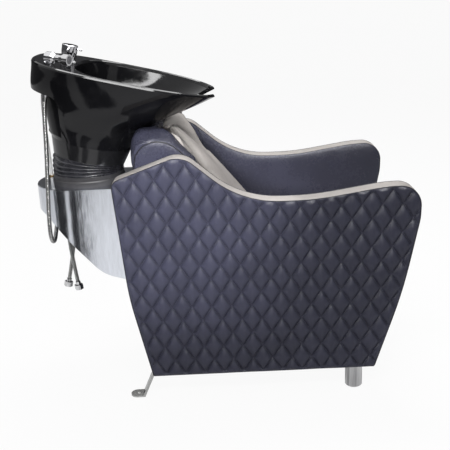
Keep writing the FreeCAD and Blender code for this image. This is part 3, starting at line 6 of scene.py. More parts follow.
# %% Load the solids
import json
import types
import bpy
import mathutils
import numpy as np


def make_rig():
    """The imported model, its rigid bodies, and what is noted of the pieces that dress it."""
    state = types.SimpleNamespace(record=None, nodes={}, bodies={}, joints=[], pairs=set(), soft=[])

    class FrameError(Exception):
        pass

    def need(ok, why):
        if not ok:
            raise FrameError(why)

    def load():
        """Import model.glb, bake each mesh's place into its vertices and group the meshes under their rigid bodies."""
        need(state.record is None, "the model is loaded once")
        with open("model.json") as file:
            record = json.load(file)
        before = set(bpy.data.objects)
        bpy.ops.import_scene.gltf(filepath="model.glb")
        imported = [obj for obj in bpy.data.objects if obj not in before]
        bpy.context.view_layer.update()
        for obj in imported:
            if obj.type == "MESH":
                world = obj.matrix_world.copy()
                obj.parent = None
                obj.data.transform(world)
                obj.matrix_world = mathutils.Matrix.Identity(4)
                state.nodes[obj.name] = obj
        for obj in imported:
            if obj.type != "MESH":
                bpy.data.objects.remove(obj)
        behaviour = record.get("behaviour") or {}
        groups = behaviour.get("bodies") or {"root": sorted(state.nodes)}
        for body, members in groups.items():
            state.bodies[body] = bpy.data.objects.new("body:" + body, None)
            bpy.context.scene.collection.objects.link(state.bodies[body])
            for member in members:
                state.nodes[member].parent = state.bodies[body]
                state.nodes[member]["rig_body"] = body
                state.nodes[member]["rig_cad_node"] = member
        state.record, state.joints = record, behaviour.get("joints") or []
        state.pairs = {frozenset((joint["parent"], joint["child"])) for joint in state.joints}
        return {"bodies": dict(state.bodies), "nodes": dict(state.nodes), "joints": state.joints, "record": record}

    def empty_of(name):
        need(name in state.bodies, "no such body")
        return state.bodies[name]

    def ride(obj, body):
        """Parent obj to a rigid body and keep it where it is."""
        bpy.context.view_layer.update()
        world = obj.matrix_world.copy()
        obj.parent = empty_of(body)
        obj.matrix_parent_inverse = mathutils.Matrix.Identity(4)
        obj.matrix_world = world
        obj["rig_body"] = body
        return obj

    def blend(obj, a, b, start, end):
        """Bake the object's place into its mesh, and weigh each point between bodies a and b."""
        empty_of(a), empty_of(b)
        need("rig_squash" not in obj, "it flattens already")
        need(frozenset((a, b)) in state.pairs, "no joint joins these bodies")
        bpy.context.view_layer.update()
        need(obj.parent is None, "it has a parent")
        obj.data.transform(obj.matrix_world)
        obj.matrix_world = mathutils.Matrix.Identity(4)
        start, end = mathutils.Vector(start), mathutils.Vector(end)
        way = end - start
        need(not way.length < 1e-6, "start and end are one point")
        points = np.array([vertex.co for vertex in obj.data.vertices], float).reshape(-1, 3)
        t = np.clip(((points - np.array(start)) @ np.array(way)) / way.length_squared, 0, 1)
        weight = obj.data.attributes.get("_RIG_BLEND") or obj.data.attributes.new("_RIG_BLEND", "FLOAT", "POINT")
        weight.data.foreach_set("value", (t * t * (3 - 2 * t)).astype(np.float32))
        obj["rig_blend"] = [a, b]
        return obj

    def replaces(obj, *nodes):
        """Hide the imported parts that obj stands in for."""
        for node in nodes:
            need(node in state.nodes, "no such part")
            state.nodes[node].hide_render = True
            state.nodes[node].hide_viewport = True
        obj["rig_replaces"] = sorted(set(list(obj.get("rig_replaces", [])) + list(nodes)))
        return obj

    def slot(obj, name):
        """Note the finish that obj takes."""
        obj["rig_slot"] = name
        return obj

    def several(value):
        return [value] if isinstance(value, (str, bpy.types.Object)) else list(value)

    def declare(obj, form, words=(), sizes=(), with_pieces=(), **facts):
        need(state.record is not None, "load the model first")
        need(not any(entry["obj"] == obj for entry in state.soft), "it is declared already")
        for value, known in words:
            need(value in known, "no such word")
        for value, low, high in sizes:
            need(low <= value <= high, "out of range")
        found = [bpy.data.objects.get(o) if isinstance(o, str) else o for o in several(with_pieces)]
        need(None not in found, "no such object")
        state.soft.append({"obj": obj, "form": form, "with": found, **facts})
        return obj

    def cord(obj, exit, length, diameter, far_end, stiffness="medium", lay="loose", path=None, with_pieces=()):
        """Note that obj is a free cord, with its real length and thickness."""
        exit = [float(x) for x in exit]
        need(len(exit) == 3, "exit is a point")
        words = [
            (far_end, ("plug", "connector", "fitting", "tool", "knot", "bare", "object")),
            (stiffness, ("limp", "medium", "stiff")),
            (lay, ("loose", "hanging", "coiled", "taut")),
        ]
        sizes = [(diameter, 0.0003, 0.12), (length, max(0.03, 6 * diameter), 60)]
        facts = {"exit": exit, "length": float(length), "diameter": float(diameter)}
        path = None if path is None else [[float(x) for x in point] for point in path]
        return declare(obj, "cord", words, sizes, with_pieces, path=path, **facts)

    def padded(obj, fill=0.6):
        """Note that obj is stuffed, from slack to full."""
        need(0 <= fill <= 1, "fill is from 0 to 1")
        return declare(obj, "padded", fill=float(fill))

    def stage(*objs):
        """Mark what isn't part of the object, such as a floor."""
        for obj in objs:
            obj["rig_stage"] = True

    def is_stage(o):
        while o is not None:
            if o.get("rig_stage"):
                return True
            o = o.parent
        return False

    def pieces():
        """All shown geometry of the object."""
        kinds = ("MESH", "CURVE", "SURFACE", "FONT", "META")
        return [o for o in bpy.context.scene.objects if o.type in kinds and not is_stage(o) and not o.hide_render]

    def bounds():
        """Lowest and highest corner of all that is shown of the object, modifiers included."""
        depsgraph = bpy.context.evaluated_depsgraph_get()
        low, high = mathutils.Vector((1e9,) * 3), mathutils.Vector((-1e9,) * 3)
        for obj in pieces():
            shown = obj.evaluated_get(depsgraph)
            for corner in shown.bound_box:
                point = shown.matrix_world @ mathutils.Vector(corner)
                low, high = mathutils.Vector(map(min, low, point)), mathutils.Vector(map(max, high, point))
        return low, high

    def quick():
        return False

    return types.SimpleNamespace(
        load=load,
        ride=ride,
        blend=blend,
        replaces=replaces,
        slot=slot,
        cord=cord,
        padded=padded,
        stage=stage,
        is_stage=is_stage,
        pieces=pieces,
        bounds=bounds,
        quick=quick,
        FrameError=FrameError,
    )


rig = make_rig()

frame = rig.load()

import json
import math

import bmesh
import bpy
import numpy as np
from mathutils import Matrix, Vector
from mathutils.bvhtree import BVHTree
from mathutils.geometry import delaunay_2d_cdt

cad_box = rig.bounds()
nodes = frame["nodes"]
print("solids:", len(nodes), "box:", cad_box)

# %% [markdown]
# The photo was taken from a little above and in front of the chair's right side, with a long lens.
# A camera has its own axes, so its turn is built from where it looks, which way is up and a small roll.

# %% Camera
def photo_camera():
    pitch, yaw, roll = math.radians(18.14), math.radians(-0.29), math.radians(-2.48)
    ahead = Vector((-math.sin(yaw) * math.cos(pitch), math.cos(yaw) * math.cos(pitch), -math.sin(pitch)))
    right = Vector((math.cos(yaw), math.sin(yaw), 0))
    up = right.cross(ahead)
    rolled_right = right * math.cos(roll) + up * math.sin(roll)
    rolled_up = up * math.cos(roll) - right * math.sin(roll)
    lens = bpy.data.cameras.new("photo_camera")
    focal_pixels, picture_pixels = 783, 450
    lens.sensor_width = 36
    lens.lens = lens.sensor_width * focal_pixels / picture_pixels
    camera = bpy.data.objects.new("photo_camera", lens)
    turn = Matrix((rolled_right, rolled_up, -ahead)).transposed().to_4x4()
    camera.matrix_world = Matrix.Translation((0.275, -2.395, 1.234)) @ turn
    bpy.context.collection.objects.link(camera)
    bpy.context.scene.camera = camera
    return camera


camera = photo_camera()
print("camera at", tuple(round(value, 3) for value in camera.location))

# %% [markdown]
# Shader maths reads best as plain sums. This small class holds one output of a material's nodes, and adding,
# multiplying or dividing it makes the Math node for that. `make` adds any other node with its settings.

# %% Shader values that work in sums
class Value:
    def __init__(self, tree, socket):
        self.tree, self.socket = tree, socket

    def maths(self, operation, *others):
        node = self.tree.nodes.new("ShaderNodeMath")
        node.operation = operation
        for socket, value in zip(node.inputs, (self, *others)):
            plug(self.tree, socket, value)
        return Value(self.tree, node.outputs[0])

    def __add__(self, other):
        return self.maths("ADD", other)

    def __sub__(self, other):
        return self.maths("SUBTRACT", other)

    def __rsub__(self, other):
        return (self * -1.0) + other

    def __mul__(self, other):
        return self.maths("MULTIPLY", other)

    def __truediv__(self, other):
        return self.maths("DIVIDE", other)

    __radd__ = __add__
    __rmul__ = __mul__

    def clamped(self):
        node = self.tree.nodes.new("ShaderNodeClamp")
        self.tree.links.new(self.socket, node.inputs[0])
        return Value(self.tree, node.outputs[0])

    def to_line(self):
        """Distance to the nearest whole number, from 0 to a half."""
        return self.maths("PINGPONG", 0.5)

    def step(self, low, high):
        """0 below low, 1 above high and smooth between."""
        node = self.tree.nodes.new("ShaderNodeMapRange")
        node.interpolation_type = "SMOOTHSTEP"
        for socket, value in zip(node.inputs[:3], (self, low, high)):
            plug(self.tree, socket, value)
        return Value(self.tree, node.outputs[0])

    def mixed(self, first, second):
        """A colour from first to second by this value."""
        node = self.tree.nodes.new("ShaderNodeMix")
        node.data_type = "RGBA"
        plug(self.tree, node.inputs[0], self)
        plug(self.tree, node.inputs[6], first)
        plug(self.tree, node.inputs[7], second)
        return Value(self.tree, node.outputs[2])


def plug(tree, socket, value):
    """Links a Value to a socket, or sets a number or colour on it."""
    if isinstance(value, Value):
        tree.links.new(value.socket, socket)
    elif isinstance(value, (tuple, list)) and len(value) == 3 and len(socket.default_value) == 4:
        socket.default_value = (*value, 1.0)
    else:
        socket.default_value = value


def make(tree, kind, settings=None, output=0, **inputs):
    node = tree.nodes.new(kind)
    for name, value in (settings or {}).items():
        setattr(node, name, value)
    for name, value in inputs.items():
        plug(tree, node.inputs[name.replace("_", " ")], value)
    return Value(tree, node.outputs[output])


# %% [markdown]
# Every finish starts the same way: one Principled shader, with place in metres from Object coordinates.
# `Finish` keeps the shader, the place and the three axes at hand, and sets or links its sockets by name.

# %% A finish
class Finish:
    def __init__(self, name, color, roughness=0.5, metallic=0.0, **fixed):
        self.material = bpy.data.materials.new(name)
        self.material.use_nodes = True
        self.material.diffuse_color = (*color, 1)
        self.tree = self.material.node_tree
        self.shader = self.tree.nodes["Principled BSDF"]
        self.set(Base_Color=color, Roughness=roughness, Metallic=metallic, **fixed)
        self.place = self.make("ShaderNodeTexCoord", output=3)
        apart = self.tree.nodes.new("ShaderNodeSeparateXYZ")
        self.tree.links.new(self.place.socket, apart.inputs[0])
        self.x, self.y, self.z = (Value(self.tree, out) for out in apart.outputs)

    def make(self, kind, settings=None, output=0, **inputs):
        return make(self.tree, kind, settings, output, **inputs)

    def set(self, **sockets):
        for name, value in sockets.items():
            plug(self.tree, self.shader.inputs[name.replace("_", " ")], value)
        return self

    def noise(self, size, detail=2.0, rough=0.5, stretch=None):
        """Smooth noise from 0 to 1 with features of about that size in metres."""
        place = self.place
        if stretch:
            place = self.make("ShaderNodeMapping", Vector=place, Scale=stretch)
        return self.make("ShaderNodeTexNoise", Vector=place, Scale=1 / size, Detail=detail, Roughness=rough)

    def cell_edges(self, size):
        """How far each place is from the edges of cells of about that size in metres."""
        return self.make("ShaderNodeTexVoronoi", {"feature": "DISTANCE_TO_EDGE"},
                         Vector=self.place, Scale=1 / size)

    def bump(self, height, depth):
        """Raises the surface by height, from 0 to 1, times depth in metres."""
        return self.set(Normal=self.make("ShaderNodeBump", Height=height, Distance=depth, Strength=1.0))


# %% [markdown]
# The studio is a pale floor under a white sky, with large soft lamps. A glossy black bowl and a polished shell
# also need something dark to mirror, as a photographer's dark cards give, so a dim wall stands all
# round, seen only in reflections. One lamp, too, shows in reflections alone, and two are kept out of them.

# %% Floor, sky and lamps
def mirrors_only(thing):
    """Leaves a thing of the studio to be seen in reflections alone."""
    for ray in ("visible_camera", "visible_diffuse", "visible_shadow", "visible_transmission"):
        setattr(thing, ray, False)
    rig.stage(thing)


def studio_floor():
    bpy.ops.mesh.primitive_plane_add(size=90, location=(0.2, 0, 0))
    floor = bpy.context.active_object
    floor.name = "studio_floor"
    finish = Finish("studio_floor", (0.78, 0.78, 0.78), 0.9)
    ray = finish.make("ShaderNodeLightPath")
    glow = finish.make("ShaderNodeEmission", Color=(1, 1, 1), Strength=1.0)
    scattered = Value(finish.tree, ray.socket.node.outputs["Is Diffuse Ray"])
    mirrored = Value(finish.tree, ray.socket.node.outputs["Is Glossy Ray"])
    finish.set(Base_Color=scattered.mixed((0.78, 0.78, 0.78), (0.30, 0.30, 0.30)))
    blend = finish.tree.nodes.new("ShaderNodeMixShader")
    plug(finish.tree, blend.inputs[0], ray * 0.94 + mirrored * 0.30)
    finish.tree.links.new(finish.shader.outputs[0], blend.inputs[1])
    finish.tree.links.new(glow.socket, blend.inputs[2])
    finish.tree.links.new(blend.outputs[0], finish.tree.nodes["Material Output"].inputs[0])
    floor.data.materials.append(finish.material)
    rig.stage(floor)


def studio_sky():
    world = bpy.data.worlds.new("studio_sky")
    bpy.context.scene.world = world
    world.use_nodes = True
    tree = world.node_tree
    back = tree.nodes["Background"]
    ray = tree.nodes.new("ShaderNodeLightPath")
    seen = Value(tree, ray.outputs["Is Camera Ray"])
    for name in ("Is Glossy Ray", "Is Transmission Ray"):
        seen = seen.maths("MAXIMUM", Value(tree, ray.outputs[name]))
    plug(tree, back.inputs[0], seen.mixed((0.20, 0.20, 0.212), (1, 1, 1)))


def lamp(name, place, toward, size, watts):
    light = bpy.data.lights.new(name, "AREA")
    light.shape, light.size, light.size_y = "RECTANGLE", size[0], size[1]
    light.energy = watts
    holder = bpy.data.objects.new(name, light)
    holder.location = place
    holder.rotation_euler = (Vector(toward) - Vector(place)).to_track_quat("-Z", "Y").to_euler()
    holder.visible_camera = False
    bpy.context.collection.objects.link(holder)
    return holder


def dim_wall():
    """A tall ring round the studio that only mirrors see."""
    bpy.ops.mesh.primitive_cylinder_add(vertices=64, radius=7, depth=4.2, end_fill_type="NOTHING",
                                        location=(0.2, 0, 2.25))
    wall = bpy.context.active_object
    wall.name = "dim_wall"
    shade = Finish("dim_wall", (0.035, 0.035, 0.04), 1.0)
    shade.set(Base_Color=shade.z.step(0.1, 2.6).mixed((0.30, 0.30, 0.30), (0.03, 0.03, 0.035)))
    wall.data.materials.append(shade.material)
    mirrors_only(wall)


def dark_card(name, middle, turn_from, turn_to, reach, height):
    """A curved dark card round a place, standing on the floor, that only mirrors see."""
    count = 24
    turns = np.radians(np.linspace(turn_from, turn_to, count))
    points = [(middle[0] + reach * math.cos(a), middle[1] + reach * math.sin(a), z)
              for z in (0.0, height) for a in turns]
    faces = [(k, k + 1, k + count + 1, k + count) for k in range(count - 1)]
    mesh = bpy.data.meshes.new(name)
    mesh.from_pydata(points, [], faces)
    card = bpy.data.objects.new(name, mesh)
    bpy.context.collection.objects.link(card)
    mesh.materials.append(Finish(name, (0.02, 0.02, 0.022), 1.0).material)
    mirrors_only(card)


bpy.ops.object.select_all(action="DESELECT")
studio_floor()
studio_sky()
dim_wall()
dark_card("card_wide", (-0.158, 0), -152, -124, 0.8, 0.8)
dark_card("card_narrow", (-0.158, 0), -114, -97, 0.8, 0.8)
dark_card("card_leg", (0.661, -0.255), -84, -58, 0.6, 0.5)
lamp("overhead", (0.35, 0.9, 3.0), (0.3, 0, 0.6), (1.9, 0.9), 55)
lamp("front", (0.2, -2.3, 2.3), (0.3, 0.1, 0.6), (1.6, 0.4), 44)
lamp("glint", (1.12, 0.27, 3.1), (0.02, -0.2, 0.95), (0.4, 0.25), 9)
lamp("front_right", (2.0, -2.8, 1.5), (0.3, 0, 0.5), (1.6, 1.8), 5)
lamp("behind", (-0.6, 2.8, 2.2), (0.1, 0, 0.6), (2.2, 1.6), 26).visible_glossy = False
lamp("gloss", (0.55, -1.15, 2.75), (0.45, 0.25, 0.65), (1.1, 0.6), 120).visible_diffuse = False
corner_light = lamp("corner", (-0.05, -2.0, 1.1), (0.11, -0.3, 0.62), (0.2, 0.2), 220)
corner_light.data.type = "SPOT"
corner_light.data.spot_size, corner_light.data.spot_blend = math.radians(29), 1.0
corner_light.data.shadow_soft_size = 0.12
corner_light.visible_glossy = False
bpy.context.scene.view_settings.view_transform = "Standard"

# %% [markdown]
# Hoses are the next thing to settle, because they hang where gravity puts them. Each route is a few points;
# a NURBS line of order three through them gives the smooth curve of the real hose.

# %% Lines and tubes
def nurbs_line(points, closed=False):
    """The smooth line that a few points pull into shape, as closely spaced points."""
    data = bpy.data.curves.new("line", "CURVE")
    data.dimensions = "3D"
    spline = data.splines.new("NURBS")
    spline.points.add(len(points) - 1)
    for point, place in zip(spline.points, points):
        point.co = (*place, 1)
    spline.order_u = 3
    spline.use_endpoint_u = not closed
    spline.use_cyclic_u = closed
    spline.resolution_u = 24
    holder = bpy.data.objects.new("line", data)
    bpy.context.collection.objects.link(holder)
    bpy.context.view_layer.update()
    mesh = bpy.data.meshes.new_from_object(holder)
    line = np.array([vertex.co for vertex in mesh.vertices])
    bpy.data.objects.remove(holder)
    bpy.data.meshes.remove(mesh)
    return line


def spaced(line, step, closed=False):
    """The same line with points at even steps, and the arc length at each."""
    path = np.vstack([line, line[:1]]) if closed else line
    run = np.concatenate([[0], np.cumsum(np.linalg.norm(np.diff(path, axis=0), axis=1))])
    count = max(2, round(run[-1] / step))
    at = np.linspace(0, run[-1], count + 1)
    if closed:
        at = at[:-1]
    return np.column_stack([np.interp(at, run, path[:, axis]) for axis in range(3)]), at


def new_piece(name, points, faces, finish):
    mesh = bpy.data.meshes.new(name)
    mesh.from_pydata([tuple(point) for point in points], [], faces)
    mesh.update()
    piece = bpy.data.objects.new(name, mesh)
    bpy.context.collection.objects.link(piece)
    mesh.materials.append(finish.material)
    mesh.shade_smooth()
    return piece


def units(rows):
    """Each row as a way of length 1."""
    return rows / np.linalg.norm(rows, axis=1)[:, None]


def tube_faces(rings, sides, closed=False):
    """Squares that join rings of points to a tube, with a cap at each end unless it closes on itself."""
    faces = []
    for ring in range(rings if closed else rings - 1):
        here, there = ring * sides, (ring + 1) % rings * sides
        for k in range(sides):
            faces.append((here + k, here + (k + 1) % sides, there + (k + 1) % sides, there + k))
    if not closed:
        faces.append(tuple(reversed(range(sides))))
        faces.append(tuple(range((rings - 1) * sides, rings * sides)))
    return faces


def sweep(name, line, radius, finish, sides=16, closed=False):
    """A tube along evenly spaced points; radius is one number or one for each point."""
    ahead = np.roll(line, -1, 0) - np.roll(line, 1, 0)
    if not closed:
        ahead[0], ahead[-1] = line[1] - line[0], line[-1] - line[-2]
    ahead = units(ahead)
    side = np.cross(ahead[0], (0.31, 0.77, 0.56))
    radius = np.broadcast_to(radius, len(line))
    turns = np.arange(sides) * 2 * math.pi / sides
    points = []
    for centre, way, r in zip(line, ahead, radius):
        side = side - way * side.dot(way)
        side /= np.linalg.norm(side)
        other = np.cross(way, side)
        points += [centre + r * (side * math.cos(a) + other * math.sin(a)) for a in turns]
    piece = new_piece(name, points, tube_faces(len(line), sides, closed), finish)
    layer = piece.data.uv_layers.new(name="UVMap")
    run = np.concatenate([[0], np.cumsum(np.linalg.norm(np.diff(line, axis=0), axis=1))])
    for face in piece.data.polygons:
        for loop in face.loop_indices:
            vertex = piece.data.loops[loop].vertex_index
            layer.data[loop].uv = (vertex % sides / sides, run[vertex // sides])
    return piece


# %% [markdown]
# The metal shower hose is a spiral of bright strip with a fine groove between its turns. The supply hoses are
# sleeves of woven steel wire. Both patterns follow the hose, so they come from its own unwrapped coordinates.

# %% Hose finishes
RIB_PITCH = 0.005


def unwrapped(finish):
    """A hose's own coordinates: the share of a turn round it, and the metres along it."""
    apart = finish.tree.nodes.new("ShaderNodeSeparateXYZ")
    finish.tree.links.new(finish.make("ShaderNodeTexCoord", output=2).socket, apart.inputs[0])
    return [Value(finish.tree, out) for out in apart.outputs[:2]]


def hose_metal():
    finish = Finish("hose_metal", (0.62, 0.62, 0.61), 0.22, 1.0)
    worn = finish.noise(0.012, 3.0)
    finish.set(Roughness=worn * 0.16 + 0.16)
    groove = (unwrapped(finish)[1] / RIB_PITCH).to_line().step(0.06, 0.22)
    bright = worn.step(0.3, 0.75).mixed((0.46, 0.46, 0.46), (0.70, 0.70, 0.69))
    finish.set(Base_Color=groove.mixed((0.05, 0.05, 0.05), bright))
    return finish


def hose_braid():
    finish = Finish("hose_braid", (0.5, 0.5, 0.5), 0.35, 1.0)
    round_it, along = unwrapped(finish)
    first = (round_it * 12 + along * 420).to_line()
    second = (round_it * 12 - along * 420).to_line()
    strands = first.maths("MAXIMUM", second).step(0.18, 0.46)
    finish.set(Base_Color=strands.mixed((0.09, 0.09, 0.09), (0.62, 0.62, 0.61)))
    finish.bump(strands, 0.0006)
    return finish


def plain_hose(name, color, roughness):
    finish = Finish(name, color, roughness)
    cloud = finish.noise(0.02, 3.0)
    shade = tuple(value * 0.8 for value in color)
    finish.set(Base_Color=cloud.mixed(shade, color), Roughness=cloud * 0.12 + roughness - 0.06)
    finish.bump(finish.noise(0.0012, 2.0), 0.00008)
    return finish


metal_hose, braided_hose = hose_metal(), hose_braid()
white_hose = plain_hose("hose_white", (0.72, 0.72, 0.71), 0.4)
black_hose = plain_hose("hose_black", (0.025, 0.025, 0.026), 0.5)

# %% [markdown]
# The shower hose leaves the holder's tail under the deck, hangs outside the shell, loops under its edge and
# climbs inside to the union under the top plate. Its ribs are modelled, because they catch the light.

# %% Shower hose
tilt = math.radians(13.6)
pivot = Vector((-0.131, 0, 0.672))


def on_bowl(x, y, z):
    """A place given level with the bowl's own tilted frame, in metres about the pivot."""
    return pivot + Vector((x * math.cos(tilt) + z * math.sin(tilt), y,
                           z * math.cos(tilt) - x * math.sin(tilt)))


down = on_bowl(0, 0, -1) - pivot
holder_tail = on_bowl(-0.138, -0.120, 0.2037)
shower_route = [
    holder_tail,
    holder_tail + down * 0.024,
    (-0.226, -0.121, 0.832),
    (-0.230, -0.123, 0.745),
    (-0.238, -0.127, 0.630),
    (-0.244, -0.130, 0.540),
    (-0.246, -0.128, 0.472),
    (-0.246, -0.084, 0.443),
    (-0.246, -0.036, 0.470),
    (-0.248, 0.004, 0.498),
    (-0.257, 0.044, 0.545),
    (-0.262, 0.060, 0.583),
    (-0.262, 0.060, 0.6097),
]
shower_line, shower_run = spaced(nurbs_line(shower_route), 0.0008)
rib = np.abs(np.sin(math.pi * shower_run / RIB_PITCH))
ends = np.minimum(shower_run, shower_run[-1] - shower_run) < 0.014
shower_radius = np.where(ends, 0.0066, 0.0054 + 0.0012 * np.sqrt(rib))
shower_hose = sweep("shower_hose_spiral", shower_line, shower_radius, metal_hose, 14)
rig.replaces(shower_hose, "shower_hose")
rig.slot(shower_hose, "hose_metal")
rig.cord(shower_hose, exit=holder_tail, length=shower_run[-1], diameter=0.0134, far_end="object",
        stiffness="medium", lay="hanging", path=shower_line[::6])
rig.blend(shower_hose, "bowl_unit", "chair", start=tuple(holder_tail), end=(-0.246, -0.084, 0.45))
print(f"shower hose {shower_run[-1]:.3f} m")

# %% [markdown]
# The outlet hose rises behind the neck from the top plate to the deck. The two supply hoses hang from the top
# plate and cross on their way to their nuts. Inside the neck, the mixer's tails and the waste hose are
# only glimpsed, so they are plain tubes.

# %% Other hoses
outlet_top = on_bowl(-0.180, 0.060, 0.2137)
outlet_route = [
    (-0.262, 0.060, 0.6243),
    (-0.262, 0.060, 0.668),
    (-0.265, 0.061, 0.740),
    (-0.268, 0.062, 0.820),
    outlet_top + down * 0.040,
    outlet_top,
]
outlet_line, outlet_run = spaced(nurbs_line(outlet_route), 0.004)
outlet_hose = sweep("outlet_hose_tube", outlet_line, 0.0049, white_hose)
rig.replaces(outlet_hose, "outlet_hose")
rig.slot(outlet_hose, "hose_white")
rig.cord(outlet_hose, exit=outlet_route[0], length=outlet_run[-1], diameter=0.0098, far_end="object",
        stiffness="medium", lay="hanging", path=outlet_line)
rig.blend(outlet_hose, "chair", "bowl_unit", start=outlet_route[0], end=tuple(outlet_top))

supply_routes = {
    "cold": [(-0.209, -0.0085, 0.6197), (-0.211, -0.013, 0.530), (-0.214, -0.015, 0.430),
             (-0.207, -0.017, 0.350), (-0.200, -0.016, 0.284)],
    "hot": [(-0.209, 0.0085, 0.6197), (-0.201, 0.013, 0.530), (-0.202, 0.016, 0.430),
            (-0.217, 0.017, 0.350), (-0.233, 0.016, 0.284)],
}
for name, route in supply_routes.items():
    line, run = spaced(nurbs_line(route), 0.003)
    hose = sweep(f"supply_braid_{name}", line, 0.006, braided_hose, 20)
    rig.replaces(hose, f"supply_hose_{name}")
    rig.slot(hose, "hose_braid")
    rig.cord(hose, exit=route[0], length=run[-1], diameter=0.012, far_end="fitting", stiffness="medium",
            lay="hanging", path=line, with_pieces=[f"supply_nut_{name}"])
    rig.ride(hose, "chair")
    print(f"supply hose {name} {run[-1]:.3f} m")

for side in (1, -1):
    start = on_bowl(-0.105, 0.006375 * side, 0.2577)
    route = [start, start + down * 0.030, (-0.186, 0.007 * side, 0.845), (-0.190, 0.008 * side, 0.765),
             (-0.203, 0.008 * side, 0.690), (-0.209, 0.0085 * side, 0.620)]
    line, run = spaced(nurbs_line(route), 0.005)
    tail = sweep(f"mixer_tail_{'left' if side > 0 else 'right'}", line, 0.005, braided_hose, 14)
    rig.replaces(tail, "mixer_tails")
    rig.slot(tail, "hose_braid")
    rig.cord(tail, exit=start, length=run[-1], diameter=0.010, far_end="object", stiffness="medium",
            lay="hanging", path=line)
    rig.blend(tail, "bowl_unit", "chair", start=tuple(start), end=(-0.209, 0, 0.63))

waste_route = [on_bowl(0, 0, 0.032), on_bowl(0, 0, -0.016), (-0.131, 0, 0.620), (-0.131, 0, 0.550)]
waste_line, waste_run = spaced(nurbs_line(waste_route), 0.004)
waste_hose = sweep("waste_hose_tube", waste_line, 0.024, black_hose, 32)
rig.replaces(waste_hose, "waste_hose")
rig.slot(waste_hose, "hose_black")
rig.blend(waste_hose, "bowl_unit", "chair", start=tuple(waste_route[0]), end=(-0.131, 0, 0.62))

# %% [markdown]
# Both leathers come from one recipe. Real leather has fine pebbled cells, a cloudy dye and a sheen that differs
# from place to place, so cells drive the bump and two sizes of noise drive colour and roughness. The
# quilted panels add a row of stitches at the bottom of each seam, laid out by the same sums as the seams, and a
# band of painted shade along each seam, which darkens the colour where the grooves fall into shade.

# %% Leather
RISING_LEAN, RISING_GAP, RISING_START = 0.690, 0.0584, 0.525
FALLING_LEAN, FALLING_GAP, FALLING_START = 0.670, 0.0572, 0.675


def seams_at(x, z):
    """How many rising and falling seams lie before a place; a whole number is on a seam."""
    return ((x - z * RISING_LEAN) / RISING_GAP - RISING_START,
            (x + z * FALLING_LEAN) / FALLING_GAP - FALLING_START)


def leather(name, color, roughness, seams=False):
    finish = Finish(name, color, roughness, Specular_IOR_Level=0.34)
    cloud, mottle = finish.noise(0.11, 3.0), finish.noise(0.007, 3.0, 0.6)
    pebbles = finish.cell_edges(0.0021).step(0.0, 0.28)
    shade = (cloud * 0.7 + mottle * 0.3).step(0.28, 0.72)
    dark, light = tuple(v * 0.86 for v in color), tuple(v * 1.14 for v in color)
    tint = shade.mixed(dark, light)
    grain = pebbles * 0.6 + finish.noise(0.0009, 2.0) * 0.25 + finish.noise(0.02, 3.0) * 1.6
    dull = cloud * 0.10 + mottle * 0.08 + (roughness - 0.09)
    if seams:
        first, second = seams_at(finish.x, finish.z)
        quilted = finish.make("ShaderNodeAttribute", {"attribute_name": "quilted"}, output=2)
        stitched, painted_seam_shade = None, None
        for across, along in ((first, second), (second, first)):
            near = 1.0 - across.to_line().step(0.010, 0.020)
            row = near * (along * 8.0).to_line().step(0.10, 0.16)
            # nearness to a seam, several millimetres wide, for the painted groove shade
            crease = 1.0 - across.to_line().step(0.015, 0.12)
            pucker = (1.0 - across.to_line().step(0.03, 0.22)) * (along * 8.0).to_line()
            stitched = row if stitched is None else stitched.maths("MAXIMUM", row)
            painted_seam_shade = crease if painted_seam_shade is None else painted_seam_shade.maths("MAXIMUM", crease)
            grain = grain + pucker * quilted * 1.6
        stitched = stitched * quilted
        # Painted shade: the colour darkens towards each seam, standing in for the shade in the quilting's grooves.
        tint = (painted_seam_shade * quilted * 0.62).mixed(tint, tuple(v * 0.35 for v in color))
        tint = stitched.mixed(tint, tuple(v * 1.5 for v in color))
        grain = grain + stitched * 2.0
    finish.set(Base_Color=tint, Roughness=dull.clamped())
    finish.bump(grain, 0.00032)
    return finish


navy = leather("navy_leather", (0.037, 0.038, 0.060), 0.27)
quilted_navy = leather("quilted_leather", (0.037, 0.038, 0.061), 0.33, seams=True)
taupe = leather("taupe_leather", (0.36, 0.335, 0.315), 0.55)
piping_navy = leather("piping_leather", (0.012, 0.012, 0.016), 0.42)
print("leathers:", navy.material.name, quilted_navy.material.name, taupe.material.name)

# %% [markdown]
# The bowl is glazed ceramic, fired to a deep gloss. The glaze never lies quite flat, so a slow ripple bends its
# reflections, and a thin mist of dried water dulls it in places.

# %% Glaze and plated metals
def glaze():
    finish = Finish("bowl_glaze", (0.006, 0.006, 0.007), 0.1, Specular_IOR_Level=0.30)
    mist = finish.noise(0.05, 4.0, 0.6).step(0.45, 0.8)
    finish.set(Roughness=mist * 0.10 + 0.09)
    finish.set(Base_Color=mist.mixed((0.005, 0.005, 0.006), (0.009, 0.009, 0.010)))
    finish.bump(finish.noise(0.07, 2.0) + finish.noise(0.008, 2.0) * 0.04, 0.0009)
    return finish


bowl_glaze_finish = glaze()


def plated(name, color, roughness, streak=None, wave=0.0, dark=0.82):
    """Bright metal with faint wipe marks; streak stretches them along the way the metal was polished. A low dark turns
    them into deep dark streaks in the colour, which are painted reflections.
    """
    finish = Finish(name, color, roughness, 1.0)
    wipes_and_painted_streaks = finish.noise(0.02, 4.0, 0.6, stretch=streak)
    specks = finish.noise(0.0016, 2.0)
    finish.set(Roughness=wipes_and_painted_streaks * roughness + specks * 0.03 + roughness * 0.45)
    # The colour falls to dark times color in the marks. Where dark is low, as on the legs, these are painted
    # reflections.
    finish.set(Base_Color=wipes_and_painted_streaks.step(0.2, 0.8).mixed(tuple(v * dark for v in color), color))
    rise = wipes_and_painted_streaks * 0.12 + finish.noise(0.09, 2.0) if wave else wipes_and_painted_streaks
    finish.bump(rise, wave or 0.00004)
    return finish


